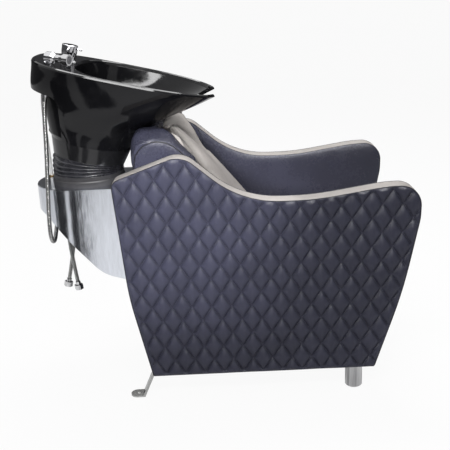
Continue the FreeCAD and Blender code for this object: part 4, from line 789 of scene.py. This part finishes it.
shell_steel = plated("shell_steel", (0.82, 0.85, 0.91), 0.15, (2.4, 2.4, 0.35), 0.0012)
# The legs' chrome takes dark=0.30, so its long dark streaks are painted reflections of dark surroundings, on top of
# its wipe marks.
chrome = plated("leg_chrome", (0.88, 0.88, 0.89), 0.05, (1.3, 1.3, 0.06), dark=0.30)
tap_chrome = plated("tap_chrome", (0.78, 0.78, 0.80), 0.05)
foot_steel = plated("foot_steel", (0.55, 0.55, 0.54), 0.20, (1, 1, 0.15))
pivot_steel = plated("pivot_steel", (0.46, 0.46, 0.46), 0.30, (0.2, 1, 1))
brass = plated("nut_brass", (0.62, 0.42, 0.17), 0.22)

# %% [markdown]
# The neck is rubber and moulded plastic, and the parts that carry the chair are plywood and powder coated tube.
# Moulded plastic has a fine spark texture, rubber a dusty bloom, powder coat an orange peel, and plywood
# shows long grain on its faces and its plies at the edges.

# %% Rubber, plastics, wood and paint
def moulded(name, color, roughness, texture=0.0009, depth=0.00006, bloom=0.0):
    finish = Finish(name, color, roughness)
    cloud = finish.noise(0.03, 4.0, 0.6)
    pale = tuple(v * 1.25 + bloom for v in color)
    finish.set(Base_Color=cloud.step(0.35, 0.75).mixed(tuple(v * 0.85 for v in color), pale))
    finish.set(Roughness=cloud * 0.16 + roughness - 0.08)
    finish.bump(finish.noise(texture, 2.0) + cloud * 0.8, depth)
    return finish


def plywood():
    finish = Finish("plywood", (0.50, 0.36, 0.22), 0.62)
    grain = finish.noise(0.006, 5.0, 0.6, stretch=(0.08, 1.0, 1.0))
    rings = (finish.z * 60 + finish.noise(0.15, 2.0) * 3).to_line()
    plies = (finish.z / 0.003).to_line().step(0.12, 0.38)
    tone = grain * 0.5 + rings * 0.6 + plies * 0.25
    finish.set(Base_Color=tone.step(0.2, 0.9).mixed((0.030, 0.024, 0.020), (0.075, 0.060, 0.048)))
    finish.set(Roughness=grain * 0.25 + 0.5)
    finish.bump(grain, 0.0003)
    return finish


rubber = moulded("bellows_rubber", (0.026, 0.026, 0.031), 0.26, 0.0007, 0.00008, 0.006)
ring_plastic = moulded("ring_plastic", (0.026, 0.025, 0.027), 0.50, 0.0006)
collar_gloss = moulded("collar_plastic", (0.010, 0.010, 0.011), 0.16, 0.02, 0.0002)
neck_rubber = moulded("neck_rubber", (0.012, 0.012, 0.013), 0.42)
shower_silver = plated("shower_plastic", (0.76, 0.76, 0.77), 0.09)
shower_grey = moulded("shower_grey", (0.20, 0.20, 0.21), 0.45)
pipe_plastic = moulded("pipe_plastic", (0.60, 0.60, 0.58), 0.42, 0.003)
nylon = moulded("washer_nylon", (0.68, 0.66, 0.60), 0.40, 0.002)
frame_paint = moulded("frame_paint", (0.018, 0.018, 0.019), 0.46, 0.0012, 0.00012)
wood = plywood()

# %% [markdown]
# Each solid that stays visible already names its material, so giving it the real finish is one lookup for each
# slot. The solids that soft pieces replace get theirs too, for anyone who shows them again.

# %% Finishes on the solids
finish_of = {
    "navy_leather": navy, "taupe_leather": taupe, "plywood": wood, "frame_paint": frame_paint,
    "leg_chrome": chrome, "foot_steel": foot_steel, "shell_steel": shell_steel, "ring_plastic": ring_plastic,
    "bellows_rubber": rubber, "collar_plastic": collar_gloss, "bowl_glaze": bowl_glaze_finish,
    "neck_rubber": neck_rubber, "tap_chrome": tap_chrome, "shower_plastic": shower_silver,
    "shower_grey": shower_grey, "hose_metal": metal_hose, "hose_braid": braided_hose,
    "hose_white": white_hose, "hose_black": black_hose, "pipe_plastic": pipe_plastic,
    "pivot_steel": pivot_steel, "washer_nylon": nylon, "nut_brass": brass,
}
for name, node in nodes.items():
    for part_slot in node.material_slots:
        part_slot.material = finish_of[part_slot.material.name.split(".")[0]].material
print("finishes on", len(nodes), "solids")

# %% [markdown]
# The rubber bellows closes the gap between the level ring and the tilted collar. Its folds are soft waves that
# lie closer together at the front, where the bowl leans, and wander a little round the neck. Each
# station up the neck is a circle turned part of the way about the pivot.

# %% Bellows
def bellows_skin():
    stations, sides, folds = 76, 120, 4.5
    low, high = -0.0197, 0.0267
    turns = np.arange(sides) * 2 * math.pi / sides
    wander = 0.10 * np.sin(turns * 2 + 0.6) + 0.07 * np.sin(turns * 3 + 2.1) + 0.04 * np.sin(turns * 7)
    rings = []
    for wall in (0.0, 0.002):
        for share in np.linspace(0, 1, stations):
            phase = 2 * math.pi * folds * (share + wander * share * (1 - share) * 1.6)
            fold = 0.5 + 0.5 * np.cos(phase + math.pi)
            close = min(1.0, share / 0.04, (1 - share) / 0.04)
            radius = 0.109 + 0.002 * share - 0.0085 * (1 - fold ** 0.8) * close - wall
            angle = tilt * share
            x, y, z = radius * np.cos(turns), radius * np.sin(turns), low + (high - low) * share
            rings.append(np.column_stack([pivot.x + x * math.cos(angle) + z * math.sin(angle), y,
                                          pivot.z + z * math.cos(angle) - x * math.sin(angle)]))
    outer, inner = rings[:stations], rings[stations:][::-1]
    return np.vstack(outer + inner), sides, 2 * stations


points, sides, rings = bellows_skin()
bellows = new_piece("bellows_skin", points, tube_faces(rings, sides, True), rubber)
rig.replaces(bellows, "bellows")
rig.slot(bellows, "bellows_rubber")
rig.blend(bellows, "chair", "bowl_unit", start=(-0.131, 0, 0.6545), end=(-0.1248, 0, 0.697))
print("bellows", len(bellows.data.polygons), "faces")

# %% [markdown]
# An arm is two padded panels on a board, with a band of leather round its edge. Each panel's outline is read
# from the flat back of its solid. The helpers here order that outline, move it in or out, and measure
# how far any point is from it, which later gives the round edge and the unquilted margin.

# %% Outlines of the panels
def ring_of(following, start):
    """Walks once round a ring of numbers, each of which names the next."""
    order = [start]
    while following[order[-1]] != start:
        order.append(following[order[-1]])
        assert len(order) <= len(following), "the outline crosses itself"
    return order


def welded(node):
    """A node's solid as a mesh to edit, with doubled points made one."""
    mesh = bmesh.new()
    mesh.from_mesh(nodes[node].data)
    bmesh.ops.remove_doubles(mesh, verts=mesh.verts, dist=0.00002)
    return mesh


def outline_of(node, level):
    """The closed outline of a node's flat face at y = level, as even (x, z) points, anticlockwise."""
    mesh = welded(node)
    mesh.verts.index_update()
    mesh.verts.ensure_lookup_table()
    flat = [face for face in mesh.faces if all(abs(vertex.co.y - level) < 0.0002 for vertex in face.verts)]
    chosen = set(flat)
    following = {}
    for face in flat:
        for loop in face.loops:
            if not any(other in chosen for other in loop.edge.link_faces if other is not face):
                following[loop.vert.index] = loop.link_loop_next.vert.index
    start = min(following, key=lambda k: (round(mesh.verts[k].co.x, 6), mesh.verts[k].co.z))
    line = [(mesh.verts[k].co.x, mesh.verts[k].co.z) for k in ring_of(following, start)]
    mesh.free()
    line = np.array(line)
    line = line if signed_area(line) > 0 else line[::-1]
    return spaced(np.column_stack([line, np.zeros(len(line))]), 0.004, True)[0][:, :2]


def signed_area(line):
    after = np.roll(line, -1, 0)
    return float(np.sum(line[:, 0] * after[:, 1] - after[:, 0] * line[:, 1])) / 2


def moved_in(line, distance):
    """The outline moved inward by distance, or outward where it is negative."""
    before, after = units(line - np.roll(line, 1, 0)), units(np.roll(line, -1, 0) - line)
    inward = units(np.column_stack([-(before + after)[:, 1], (before + after)[:, 0]]))
    lean = np.abs(inward[:, 0] * -before[:, 1] + inward[:, 1] * before[:, 0])
    return line + inward * (distance / np.maximum(lean, 0.5))[:, None]


def unfolded(line):
    """The outline without points that stand close together or where it doubles back on itself."""
    while True:
        before, after = line - np.roll(line, 1, 0), np.roll(line, -1, 0) - line
        close = np.linalg.norm(before, axis=1) < 0.0008
        folded = np.sum(before * after, axis=1) < 0
        wrong = np.nonzero(close | folded)[0]
        if len(wrong) == 0:
            return line
        line = np.delete(line, wrong[0], axis=0)


def gap_to(points, line):
    """The distance of each point from the outline."""
    start, end = line, np.roll(line, -1, 0)
    way = end - start
    size = np.maximum(np.sum(way * way, axis=1), 1e-12)
    gaps = []
    for few in np.array_split(points, max(1, len(points) // 2000)):
        reach = few[:, None] - start[None]
        share = np.clip(np.sum(reach * way[None], axis=2) / size[None], 0, 1)
        gaps.append(np.sqrt(np.min(np.sum((reach - share[..., None] * way[None]) ** 2, axis=2), axis=1)))
    return np.concatenate(gaps)


def inside(points, line):
    odd = np.zeros(len(points), bool)
    for (x0, y0), (x1, y1) in zip(line, np.roll(line, -1, 0)):
        if y0 != y1:
            crossing = (points[:, 1] > y0) != (points[:, 1] > y1)
            odd ^= crossing & (points[:, 0] < x0 + (x1 - x0) * (points[:, 1] - y0) / (y1 - y0))
    return odd


panel_line = outline_of("side_panel_left", 0.297)
arm_line = moved_in(panel_line, -0.0047)
arm_line[:, 1] = np.maximum(arm_line[:, 1], panel_line[:, 1].min())
arm_line = unfolded(arm_line)
inner_line = moved_in(outline_of("arm_inner_left", 0.2547), -0.0047)
inner_line[:, 1] = np.maximum(inner_line[:, 1], 0.3487)
inner_line = unfolded(inner_line)
print("arm outline", len(arm_line), "points; inner pad", len(inner_line), "points")

# %% [markdown]
# A padded panel is leather over foam on a flat board: a round edge, then a face that the stitches pull down.
# Its mesh starts as points on the flat, closer together where the surface bends, which a triangulation
# joins. Each point is then raised by its distance from the edge and from the seams.

# %% Padded panels
def even_points(line, step):
    low, high = line.min(0), line.max(0)
    across = np.arange(low[0], high[0], step)
    upward = np.arange(low[1], high[1], step * 0.866)
    grid = [(x + (row % 2) * step / 2, z) for row, z in enumerate(upward) for x in across]
    return np.array(grid)


def quilt_points():
    """Points on the diamonds' own grid, closer to each other at the seams."""
    half = np.array([0.0, 0.03, 0.07, 0.125, 0.20, 0.295, 0.40])
    steps = np.concatenate([half, [0.5], 1 - half[:0:-1]])
    p, q = np.meshgrid((np.arange(-12, 16)[:, None] + steps[None]).ravel(),
                       (np.arange(-2, 26)[:, None] + steps[None]).ravel())
    rising, falling = (p.ravel() + RISING_START) * RISING_GAP, (q.ravel() + FALLING_START) * FALLING_GAP
    z = (falling - rising) / (RISING_LEAN + FALLING_LEAN)
    return np.column_stack([rising + RISING_LEAN * z, z])


def faced_out(piece):
    """Turns every face of a closed piece outward."""
    mesh = bmesh.new()
    mesh.from_mesh(piece.data)
    bmesh.ops.recalc_face_normals(mesh, faces=mesh.faces)
    mesh.to_mesh(piece.data)
    mesh.free()
    return piece


def on_chair(piece, slot, node=None, fill=None):
    """Ties a piece to the chair: its slot, the solid it stands for, and how full it is if it is padded."""
    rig.ride(piece, "chair")
    if node:
        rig.replaces(piece, node)
    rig.slot(piece, slot)
    if fill:
        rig.padded(piece, fill)
    return piece


def padded_panel(name, line, points, thick, height, place, finish, rings=(0.0012, 0.003, 0.0055, 0.0085)):
    """A panel from an outline; height gives each point's rise over the back, place its spot in the room."""
    near = [line]
    for ring in rings:
        moved = moved_in(line, ring)
        moved = moved[inside(moved, line)]
        near.append(moved[gap_to(moved, line) > ring * 0.97])
    points = points[inside(points, line)]
    points = points[gap_to(points, line) > rings[-1] + 0.0025]
    flat = np.vstack(near + [points])
    border = list(range(len(line)))
    result = delaunay_2d_cdt([Vector(point) for point in flat], [], [border], 1, 0.000001, True)
    flat = np.array([tuple(point) for point in result[0]])
    faces = [tuple(face) for face in result[2]]
    middles = np.array([flat[list(face)].mean(0) for face in faces])
    corners = flat[np.array(faces)]
    first, second = corners[:, 1] - corners[:, 0], corners[:, 2] - corners[:, 0]
    sliver = np.abs(first[:, 0] * second[:, 1] - first[:, 1] * second[:, 0]) < 2e-9
    faces = [face for face, within in zip(faces, inside(middles, line) | sliver) if within]
    used = sorted({corner for face in faces for corner in face})
    fresh = {old: new for new, old in enumerate(used)}
    flat = flat[used]
    faces = [tuple(fresh[corner] for corner in face) for face in faces]
    gaps = gap_to(flat, line)
    top = np.column_stack([flat, height(flat, gaps)])
    order = rim_order(faces)
    low = np.column_stack([flat[order], np.full(len(order), -thick)])
    count = len(flat)
    for k in range(len(order)):
        after = (k + 1) % len(order)
        faces.append((order[after], order[k], count + k, count + after))
    faces.append(tuple(count + k for k in reversed(range(len(order)))))
    piece = faced_out(new_piece(name, place(np.vstack([top, low])), faces, finish))
    return piece, np.concatenate([gaps, np.zeros(len(order))])


def rim_order(faces):
    """The open edge of a triangulated sheet, in order."""
    sides = {(face[k], face[(k + 1) % len(face)]) for face in faces for k in range(len(face))}
    following = {first: second for first, second in sides if (second, first) not in sides}
    order = ring_of(following, min(following))
    assert len(order) == len(following), "the sheet has more than one rim"
    return order


def round_edge(gaps, depth, reach=None):
    """How far below the face a round edge lies, by distance from the outline; reach makes it an ellipse."""
    share = 1 - np.clip(gaps / (reach or depth), 0, 1)
    return depth * (1 - np.sqrt(1 - share ** 2))


def smooth(values, low, high):
    share = np.clip((values - low) / (high - low), 0, 1)
    return share * share * (3 - 2 * share)


def waves(points, size, seed):
    """Gentle uneven rise and fall from -1 to 1, the same on each run."""
    chance = np.random.default_rng(seed)
    total = np.zeros(len(points))
    for _ in range(9):
        way = chance.normal(size=points.shape[1])
        way *= 2 * math.pi / size / np.linalg.norm(way) * chance.uniform(0.6, 1.5)
        total += np.sin(points @ way + chance.uniform(0, 6.28))
    return total / 4


def pillow(across):
    """The height of a quilted diamond across one pair of its seams, from 0 at a seam to 1 halfway."""
    share = np.abs(across - np.round(across)) * 2
    return (1 - (1 - share) ** 2.6) ** 0.8


def quilt_height(flat, gaps):
    p, q = seams_at(flat[:, 0], flat[:, 1])
    relief = 0.0105 * pillow(p) * pillow(q) - 0.0068
    margin = smooth(gaps, 0.002, 0.010)
    return relief * margin - round_edge(gaps, 0.0040, 0.014) + waves(flat, 0.16, 4) * 0.0005


arm_sides = {"left": 1, "right": -1}
for side_name, side in arm_sides.items():
    def outward(local, side=side):
        return np.column_stack([local[:, 0], side * (0.3102 + local[:, 2]), local[:, 1]])

    panel, gaps = padded_panel(f"quilted_panel_{side_name}", arm_line, quilt_points(), 0.0125,
                               quilt_height, outward, quilted_navy)
    attribute = panel.data.attributes.new("quilted", "FLOAT", "POINT")
    attribute.data.foreach_set("value", smooth(gaps, 0.004, 0.008).astype(np.float32))
    on_chair(panel, "navy_leather", f"side_panel_{side_name}", 0.8)
    print(panel.name, len(panel.data.vertices), "points")

# %% [markdown]
# The inner side of each arm is a plain padded panel. Its foam is thickest a hand's width from the edge, so the
# face rises quickly and then stays nearly level, with the slow unevenness of stretched leather.

# %% Inner arm pads
def plain_height(flat, gaps):
    swell = 0.0040 * smooth(gaps, 0.0, 0.07)
    return swell - round_edge(gaps, 0.0085, 0.028) + waves(flat, 0.13, 7) * 0.0006


for side_name, side in arm_sides.items():
    def inward(local, side=side):
        return np.column_stack([local[:, 0], side * (0.2452 - local[:, 2]), local[:, 1]])

    pad, gaps = padded_panel(f"inner_pad_{side_name}", inner_line, even_points(inner_line, 0.010), 0.0092,
                             plain_height, inward, navy, (0.0010, 0.0022, 0.0040, 0.0065, 0.010))
    on_chair(pad, "navy_leather", f"arm_inner_{side_name}", 0.75)

# %% [markdown]
# The band over the arm's edge is a strip of pale leather on thin foam. It is a cross section carried along the
# arm's outline from one bottom corner to the other, crowned in the middle and tucked in at its two
# seams, where a dark corded piping closes the joint.

# %% Edge bands and piping
def open_run(line, floor):
    """The part of a closed outline above its bottom edge, as one open line."""
    above = line[:, 1] > floor
    start = next(k for k in range(len(line)) if above[k] and not above[k - 1])
    return np.roll(line, -start, 0)[:int(np.argmin(np.roll(above, -start)))]


def outward_of(run):
    ahead = units(np.gradient(run, axis=0))
    return np.column_stack([ahead[:, 1], -ahead[:, 0]])


def strip(name, run, section, finish, side):
    """A closed cross section of (y, outward) pairs carried along the open outline."""
    points = []
    for spot, way in zip(run, outward_of(run)):
        points += [(spot[0] + way[0] * rise, side * y, spot[1] + way[1] * rise) for y, rise in section]
    return faced_out(new_piece(name, points, tube_faces(len(run), len(section)), finish))


arm_run = open_run(arm_line, 0.0845)
crown = [(0.2534, -0.0047), (0.2535, -0.0022), (0.2541, -0.0008), (0.2554, 0.0001), (0.2590, 0.0006),
         (0.2660, 0.0009), (0.2775, 0.0010), (0.2890, 0.0009), (0.2990, 0.0006), (0.3044, 0.0001),
         (0.3062, -0.0008), (0.3069, -0.0022), (0.3070, -0.0047)]
for side_name, side in arm_sides.items():
    band = strip(f"edge_band_{side_name}", arm_run, crown, taupe, side)
    on_chair(band, "taupe_leather", f"arm_band_{side_name}", 0.85)
    for seam, y in (("outer", 0.3076), ("inner", 0.2528)):
        spots = arm_run + outward_of(arm_run) * -0.0006
        spots = spots[spots[:, 1] > (0.086 if seam == "outer" else 0.35)]
        line = np.column_stack([spots[:, 0], np.full(len(spots), side * y), spots[:, 1]])
        cord = sweep(f"{seam}_piping_{side_name}", line, 0.0013, piping_navy, 8)
        on_chair(cord, "navy_leather")
print("band run", len(arm_run), "stations")

# %% [markdown]
# The seat, the back and its roll are thick foam cushions. Each starts as a copy of its solid, is turned into an
# even mesh by a voxel remesh and drawn in a little, and is then blown up as cloth under pressure, which
# gives the swollen faces and soft edges that modelling by hand seldom gets right.

# %% Inflating a cushion
def even_copy(node, name, voxel):
    """A new object with the node's form as one closed mesh of even squares."""
    mesh = welded(node)
    data = bpy.data.meshes.new(name)
    mesh.to_mesh(data)
    mesh.free()
    piece = bpy.data.objects.new(name, data)
    bpy.context.collection.objects.link(piece)
    remesh = piece.modifiers.new("even", "REMESH")
    remesh.mode, remesh.voxel_size = "VOXEL", voxel
    applied(piece, remesh)
    return piece


def applied(piece, modifier):
    bpy.ops.object.select_all(action="DESELECT")
    piece.select_set(True)
    bpy.context.view_layer.objects.active = piece
    bpy.ops.object.modifier_apply(modifier=modifier.name)


def read_all(items, name):
    """One vector of each item of a mesh, as rows."""
    found = np.empty(len(items) * 3)
    items.foreach_get(name, found)
    return found.reshape(-1, 3)


def places(piece):
    return read_all(piece.data.vertices, "co")


def put(piece, points):
    piece.data.vertices.foreach_set("co", np.asarray(points, float).ravel())
    piece.data.update()


def eased(piece, times, weights=None):
    """Evens the surface out, everywhere or where weights, one for each point, are above 0."""
    modifier = piece.modifiers.new("ease", "SMOOTH")
    modifier.factor, modifier.iterations = 0.5, times
    if weights is not None:
        group = piece.vertex_groups.new(name="near")
        for index in np.nonzero(weights > 0.01)[0]:
            group.add([int(index)], float(weights[index]), "REPLACE")
        modifier.vertex_group = "near"
    applied(piece, modifier)
    piece.vertex_groups.clear()


def finer(piece):
    """Halves the squares of the mesh, which rounds it."""
    modifier = piece.modifiers.new("finer", "SUBSURF")
    modifier.levels = modifier.render_levels = 1
    applied(piece, modifier)


def drawn_in(piece, distance):
    put(piece, places(piece) - read_all(piece.data.vertex_normals, "vector") * distance)


def inflated(piece, cap):
    """Blows the mesh up as cloth and keeps each point within cap of where it was."""
    start = places(piece)
    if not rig.quick():
        cloth = piece.modifiers.new("swell", "CLOTH")
        cloth.settings.quality = 4
        cloth.settings.use_pressure = True
        cloth.settings.uniform_pressure_force = 4.0
        cloth.settings.effector_weights.gravity = 0
        last_frame = 20
        cloth.point_cache.frame_start, cloth.point_cache.frame_end = 1, last_frame
        for frame_number in range(1, last_frame + 1):
            bpy.context.scene.frame_set(frame_number)
        move = places(piece.evaluated_get(bpy.context.evaluated_depsgraph_get())) - start
        reach = np.linalg.norm(move, axis=1)[:, None]
        piece.modifiers.remove(cloth)
        bpy.context.scene.frame_set(1)
        put(piece, start + move * np.minimum(1, cap / np.maximum(reach, 1e-9)))
    finer(piece)


def kept_between(piece, half):
    """Presses flat what swelled past the arms' inner faces."""
    points = places(piece)
    points[:, 1] = np.clip(points[:, 1], -half, half)
    put(piece, points)


def dressed(piece, finish, node, slot, fill):
    piece.data.materials.clear()
    piece.data.materials.append(finish.material)
    piece.data.shade_smooth()
    return on_chair(piece, slot, node, fill)


BETWEEN_ARMS = 0.2404  # half the width that the arms leave free

# %% [markdown]
# The seat is the plainest of them: an even copy, eased, drawn in and blown up.

# %% Seat cushion
seat = even_copy("seat_cushion", "seat_pad", 0.006)
eased(seat, 12)
drawn_in(seat, 0.004)
inflated(seat, 0.008)
kept_between(seat, BETWEEN_ARMS)
dressed(seat, taupe, "seat_cushion", "taupe_leather", 0.8)
print("seat", len(seat.data.polygons), "faces")

# %% [markdown]
# The back's roll lies across the top of the chair and ends in a padded D shaped cover at each side. Soft foam
# droops at its ends, so the copy is lowered and rounded there before it is inflated, and the D cover gets
# a corded rim.

# %% Back roll
roll = even_copy("back_roll", "back_bolster", 0.005)
spots = places(roll)
toward_end = smooth(np.abs(spots[:, 1]), 0.175, 0.244)
base, middle = 0.668, 0.115
spots[:, 2] = base + (spots[:, 2] - base) * (1 - 0.20 * toward_end)
spots[:, 0] = middle + (spots[:, 0] - middle) * (1 - 0.07 * toward_end)
put(roll, spots)
eased(roll, 14)
drawn_in(roll, 0.002)
inflated(roll, 0.007)
kept_between(roll, 0.2325)
dressed(roll, navy, "back_roll", "navy_leather", 0.85)
d_rim = [(0.036, 0.690), (0.036, 0.722), (0.044, 0.748), (0.062, 0.768), (0.086, 0.778), (0.106, 0.780),
         (0.128, 0.776), (0.150, 0.765), (0.176, 0.742), (0.198, 0.714), (0.208, 0.690), (0.204, 0.681),
         (0.120, 0.680), (0.042, 0.681)]
for side_name, side in arm_sides.items():
    rim_line = nurbs_line([(x, side * 0.2328, z) for x, z in d_rim], True)
    rim_points = spaced(rim_line, 0.004, True)[0]
    rim = sweep(f"roll_piping_{side_name}", rim_points, 0.0018, piping_navy, 10, True)
    on_chair(rim, "navy_leather")

    def end_face(local, side=side):
        return np.column_stack([local[:, 0], side * (0.2312 + local[:, 2]), local[:, 1]])

    def end_height(flat, gaps):
        return 0.0080 - round_edge(gaps, 0.0080, 0.026)

    face_line = rim_points[:, [0, 2]]
    face_line = face_line if signed_area(face_line) > 0 else face_line[::-1]
    cap, _ = padded_panel(f"roll_end_{side_name}", face_line, even_points(face_line, 0.006), 0.006,
                          end_height, end_face, navy, (0.0006, 0.0015, 0.003, 0.0055))
    on_chair(cap, "navy_leather", fill=0.8)
print("roll", len(roll.data.polygons), "faces")

# %% [markdown]
# The back is pale, with a raised tongue that starts under the bowl's lip, widens on its way down and
# tapers again at its foot. The back's shoulders fall away beside it, so the copy is reshaped along the
# tongue's centre line before it is inflated.

# %% Back cushion
def tongue_line():
    """The tongue's centre in the side view, with its outward way, half width and rise."""
    top, foot = np.array((0.145, 0.774)), np.array((0.228, 0.682))
    route = (top + (top - foot) * 0.08, (top + foot) / 2, foot, (0.303, 0.590), (0.352, 0.530))
    centre = spaced(nurbs_line([(x, 0, z) for x, z in route]), 0.004)[0][:, [0, 2]]
    ahead = units(np.gradient(centre, axis=0))
    out = np.column_stack([-ahead[:, 1], ahead[:, 0]])
    share = np.linspace(0, 1, len(centre))
    half = np.interp(share, [0, 0.12, 0.46, 0.70, 0.80, 0.90, 0.97, 1],
                     [0.020, 0.031, 0.076, 0.094, 0.093, 0.080, 0.055, 0.030])
    rise = np.interp(share, [0, 0.08, 0.22, 0.46, 0.64, 0.80, 1],
                     [0.004, 0.008, 0.010, 0.010, 0.009, 0.004, -0.010])
    return centre, out, half, rise


def reshaped_back(piece):
    points = places(piece)
    low, high = np.array((0.394, 0.469)), np.array((0.222, 0.694))
    lean = (high - low) / np.linalg.norm(high - low)
    depth = (points[:, 0] - low[0]) * lean[1] - (points[:, 2] - low[1]) * lean[0]
    front = smooth(depth, -0.075, 0.0)
    shoulder = smooth(points[:, 2], 0.42, 0.65) * (1 - smooth(points[:, 2], 0.668, 0.70))
    points[:, 1] *= 1 - 0.17 * front * shoulder * smooth(np.abs(points[:, 1]), 0.10, 0.22)
    centre, out, half, _ = tongue_line()
    near = np.argmin(np.linalg.norm(points[:, None, [0, 2]] - centre[None], axis=2), axis=1)
    beside = np.abs(points[:, 1]) - half[near]
    share = near / len(centre)
    fall = np.interp(share, [0, 0.15, 0.30, 0.46, 0.62], [0.046, 0.046, 0.032, 0.015, 0.0])
    slope = fall * (1 - smooth(beside, -0.01, 0.200 - half[near]))
    crease = 0.008 * smooth(beside, -0.012, 0.002) * (1 - smooth(beside, 0.004, 0.022))
    crease *= 1 - smooth(share, 0.5, 0.7)
    push = (slope + crease) * smooth(depth, -0.09, -0.03) * (points[:, 2] > 0.60)
    points[:, 0] -= out[near, 0] * push
    points[:, 2] -= out[near, 1] * push
    put(piece, points)


back = even_copy("back_cushion", "back_pad", 0.006)
reshaped_back(back)
eased(back, 8)
spots = places(back)
near_shoulder = smooth(np.abs(spots[:, 1]), 0.14, 0.18)
near_shoulder *= 1 - smooth(np.abs(spots[:, 2] - 0.668), 0.03, 0.07)
eased(back, 60, near_shoulder * smooth(spots[:, 0], 0.16, 0.20))
drawn_in(back, 0.007)
inflated(back, 0.006)
kept_between(back, BETWEEN_ARMS)
dressed(back, taupe, "back_cushion", "taupe_leather", 0.8)
print("back", len(back.data.polygons), "faces")

# %% [markdown]
# The tongue is a separate pad, sewn on. It is a crowned strip along its own centre line, drawn down wherever
# it would come near the bowl.

# %% The back's tongue
def tree_of(*names):
    """One search tree of the given solids."""
    points, faces = [], []
    for name in names:
        data = nodes[name].data
        start = len(points)
        points += [vertex.co.copy() for vertex in data.vertices]
        faces += [tuple(start + corner for corner in face.vertices) for face in data.polygons]
    return BVHTree.FromPolygons(points, faces)


def back_tongue():
    centre, out, half, rise = tongue_line()
    solids = tree_of("bowl", "neck_rest", "collar")
    points, sides = [], 28
    for spot, way, wide, tall in zip(centre, out, half, rise):
        for k in range(sides):
            turn = 2 * math.pi * k / sides
            y = wide * math.copysign(abs(math.cos(turn)) ** 0.6, math.cos(turn))
            up = (tall + 0.012) * math.copysign(abs(math.sin(turn)) ** 0.55, math.sin(turn))
            up = up - 0.012 if up > 0 else -0.012 + up * 0.25
            point = Vector((spot[0] + way[0] * up, y, spot[1] + way[1] * up))
            inside_way = Vector((-way[0], 0, -way[1]))
            for _ in range(14):
                near = solids.find_nearest(point)
                if near[3] > 0.008:
                    break
                point = point + inside_way * 0.003
            points.append(point)
    return faced_out(new_piece("back_tongue", points, tube_faces(len(centre), sides), taupe))


tongue = back_tongue()
eased(tongue, 2)
finer(tongue)
tongue.data.shade_smooth()
on_chair(tongue, "taupe_leather", fill=0.8)

# %% [markdown]
# The rear cover and the front apron are upholstered boards that close the chair between the arms. They lean, so
# each one's outline is drawn flat and then placed on its own slope.

# %% Rear cover and apron
def leaning_panel(name, node, low, high, half, face_way):
    """A plain padded panel on the slope from low to high, each an (x, z) pair on its face."""
    low, high = np.array(low), np.array(high)
    rise = high - low
    tall = np.linalg.norm(rise)
    rise /= tall
    face = np.array((rise[1], -rise[0])) * face_way
    corners = np.array([(-half, 0, 0), (half, 0, 0), (half, tall, 0), (-half, tall, 0)])
    line = spaced(corners, 0.005, True)[0][:, :2]

    def place(local):
        up = local[:, 1]
        x = low[0] + rise[0] * up + face[0] * local[:, 2]
        z = low[1] + rise[1] * up + face[1] * local[:, 2]
        return np.column_stack([x, local[:, 0], z])

    def height(flat, gaps):
        return 0.005 * smooth(gaps, 0, 0.09) - round_edge(gaps, 0.006) + waves(flat, 0.15, 11) * 0.0006

    piece, _ = padded_panel(name, line, even_points(line, 0.011), 0.0105, height, place, navy)
    return dressed(piece, navy, node, "navy_leather", 0.7)


apron = leaning_panel("apron_pad", "front_apron", (0.6925, 0.0955), (0.7730, 0.3455), 0.2542, 1)
print("apron", len(apron.data.vertices), "points")


def slots_through(piece, boxes):
    """Cuts square holes where the bowl's arms pass through."""
    for low, high in boxes:
        bpy.ops.object.select_all(action="DESELECT")
        middle, size = (np.array(low) + high) / 2, np.array(high) - low
        bpy.ops.mesh.primitive_cube_add(size=1, location=middle, scale=size)
        cutter = bpy.context.active_object
        hole = piece.modifiers.new("hole", "BOOLEAN")
        hole.operation, hole.solver, hole.object = "DIFFERENCE", "EXACT", cutter
        applied(piece, hole)
        bpy.data.objects.remove(cutter)


lower_cover = leaning_panel("cover_pad_lower", "rear_cover", (0.1027, 0.0955), (0.0523, 0.3390), 0.2442, -1)
upper_cover = leaning_panel("cover_pad_upper", "rear_cover", (0.0519, 0.3402), (0.0276, 0.6650), 0.2442, -1)
slots_through(upper_cover, [((0, 0.058, 0.593), (0.12, 0.087, 0.622)),
                            ((0, -0.087, 0.593), (0.12, -0.058, 0.622))])
seam_line = np.array([(0.0490, y, 0.3396) for y in np.linspace(-0.2435, 0.2435, 90)])
cover_seam = sweep("cover_seam", seam_line, 0.0022, piping_navy, 8)
on_chair(cover_seam, "navy_leather")
print("rear cover", len(lower_cover.data.vertices) + len(upper_cover.data.vertices), "points")

# %% [markdown]
# Last, the box round all that shows is written beside the box of the solids, so that the two can be compared.

# %% Sizes of the box, and the end
size_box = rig.bounds()
with open("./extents.json", "w") as file:
    json.dump({"cad": [list(corner) for corner in cad_box], "scene": [list(corner) for corner in size_box]}, file)
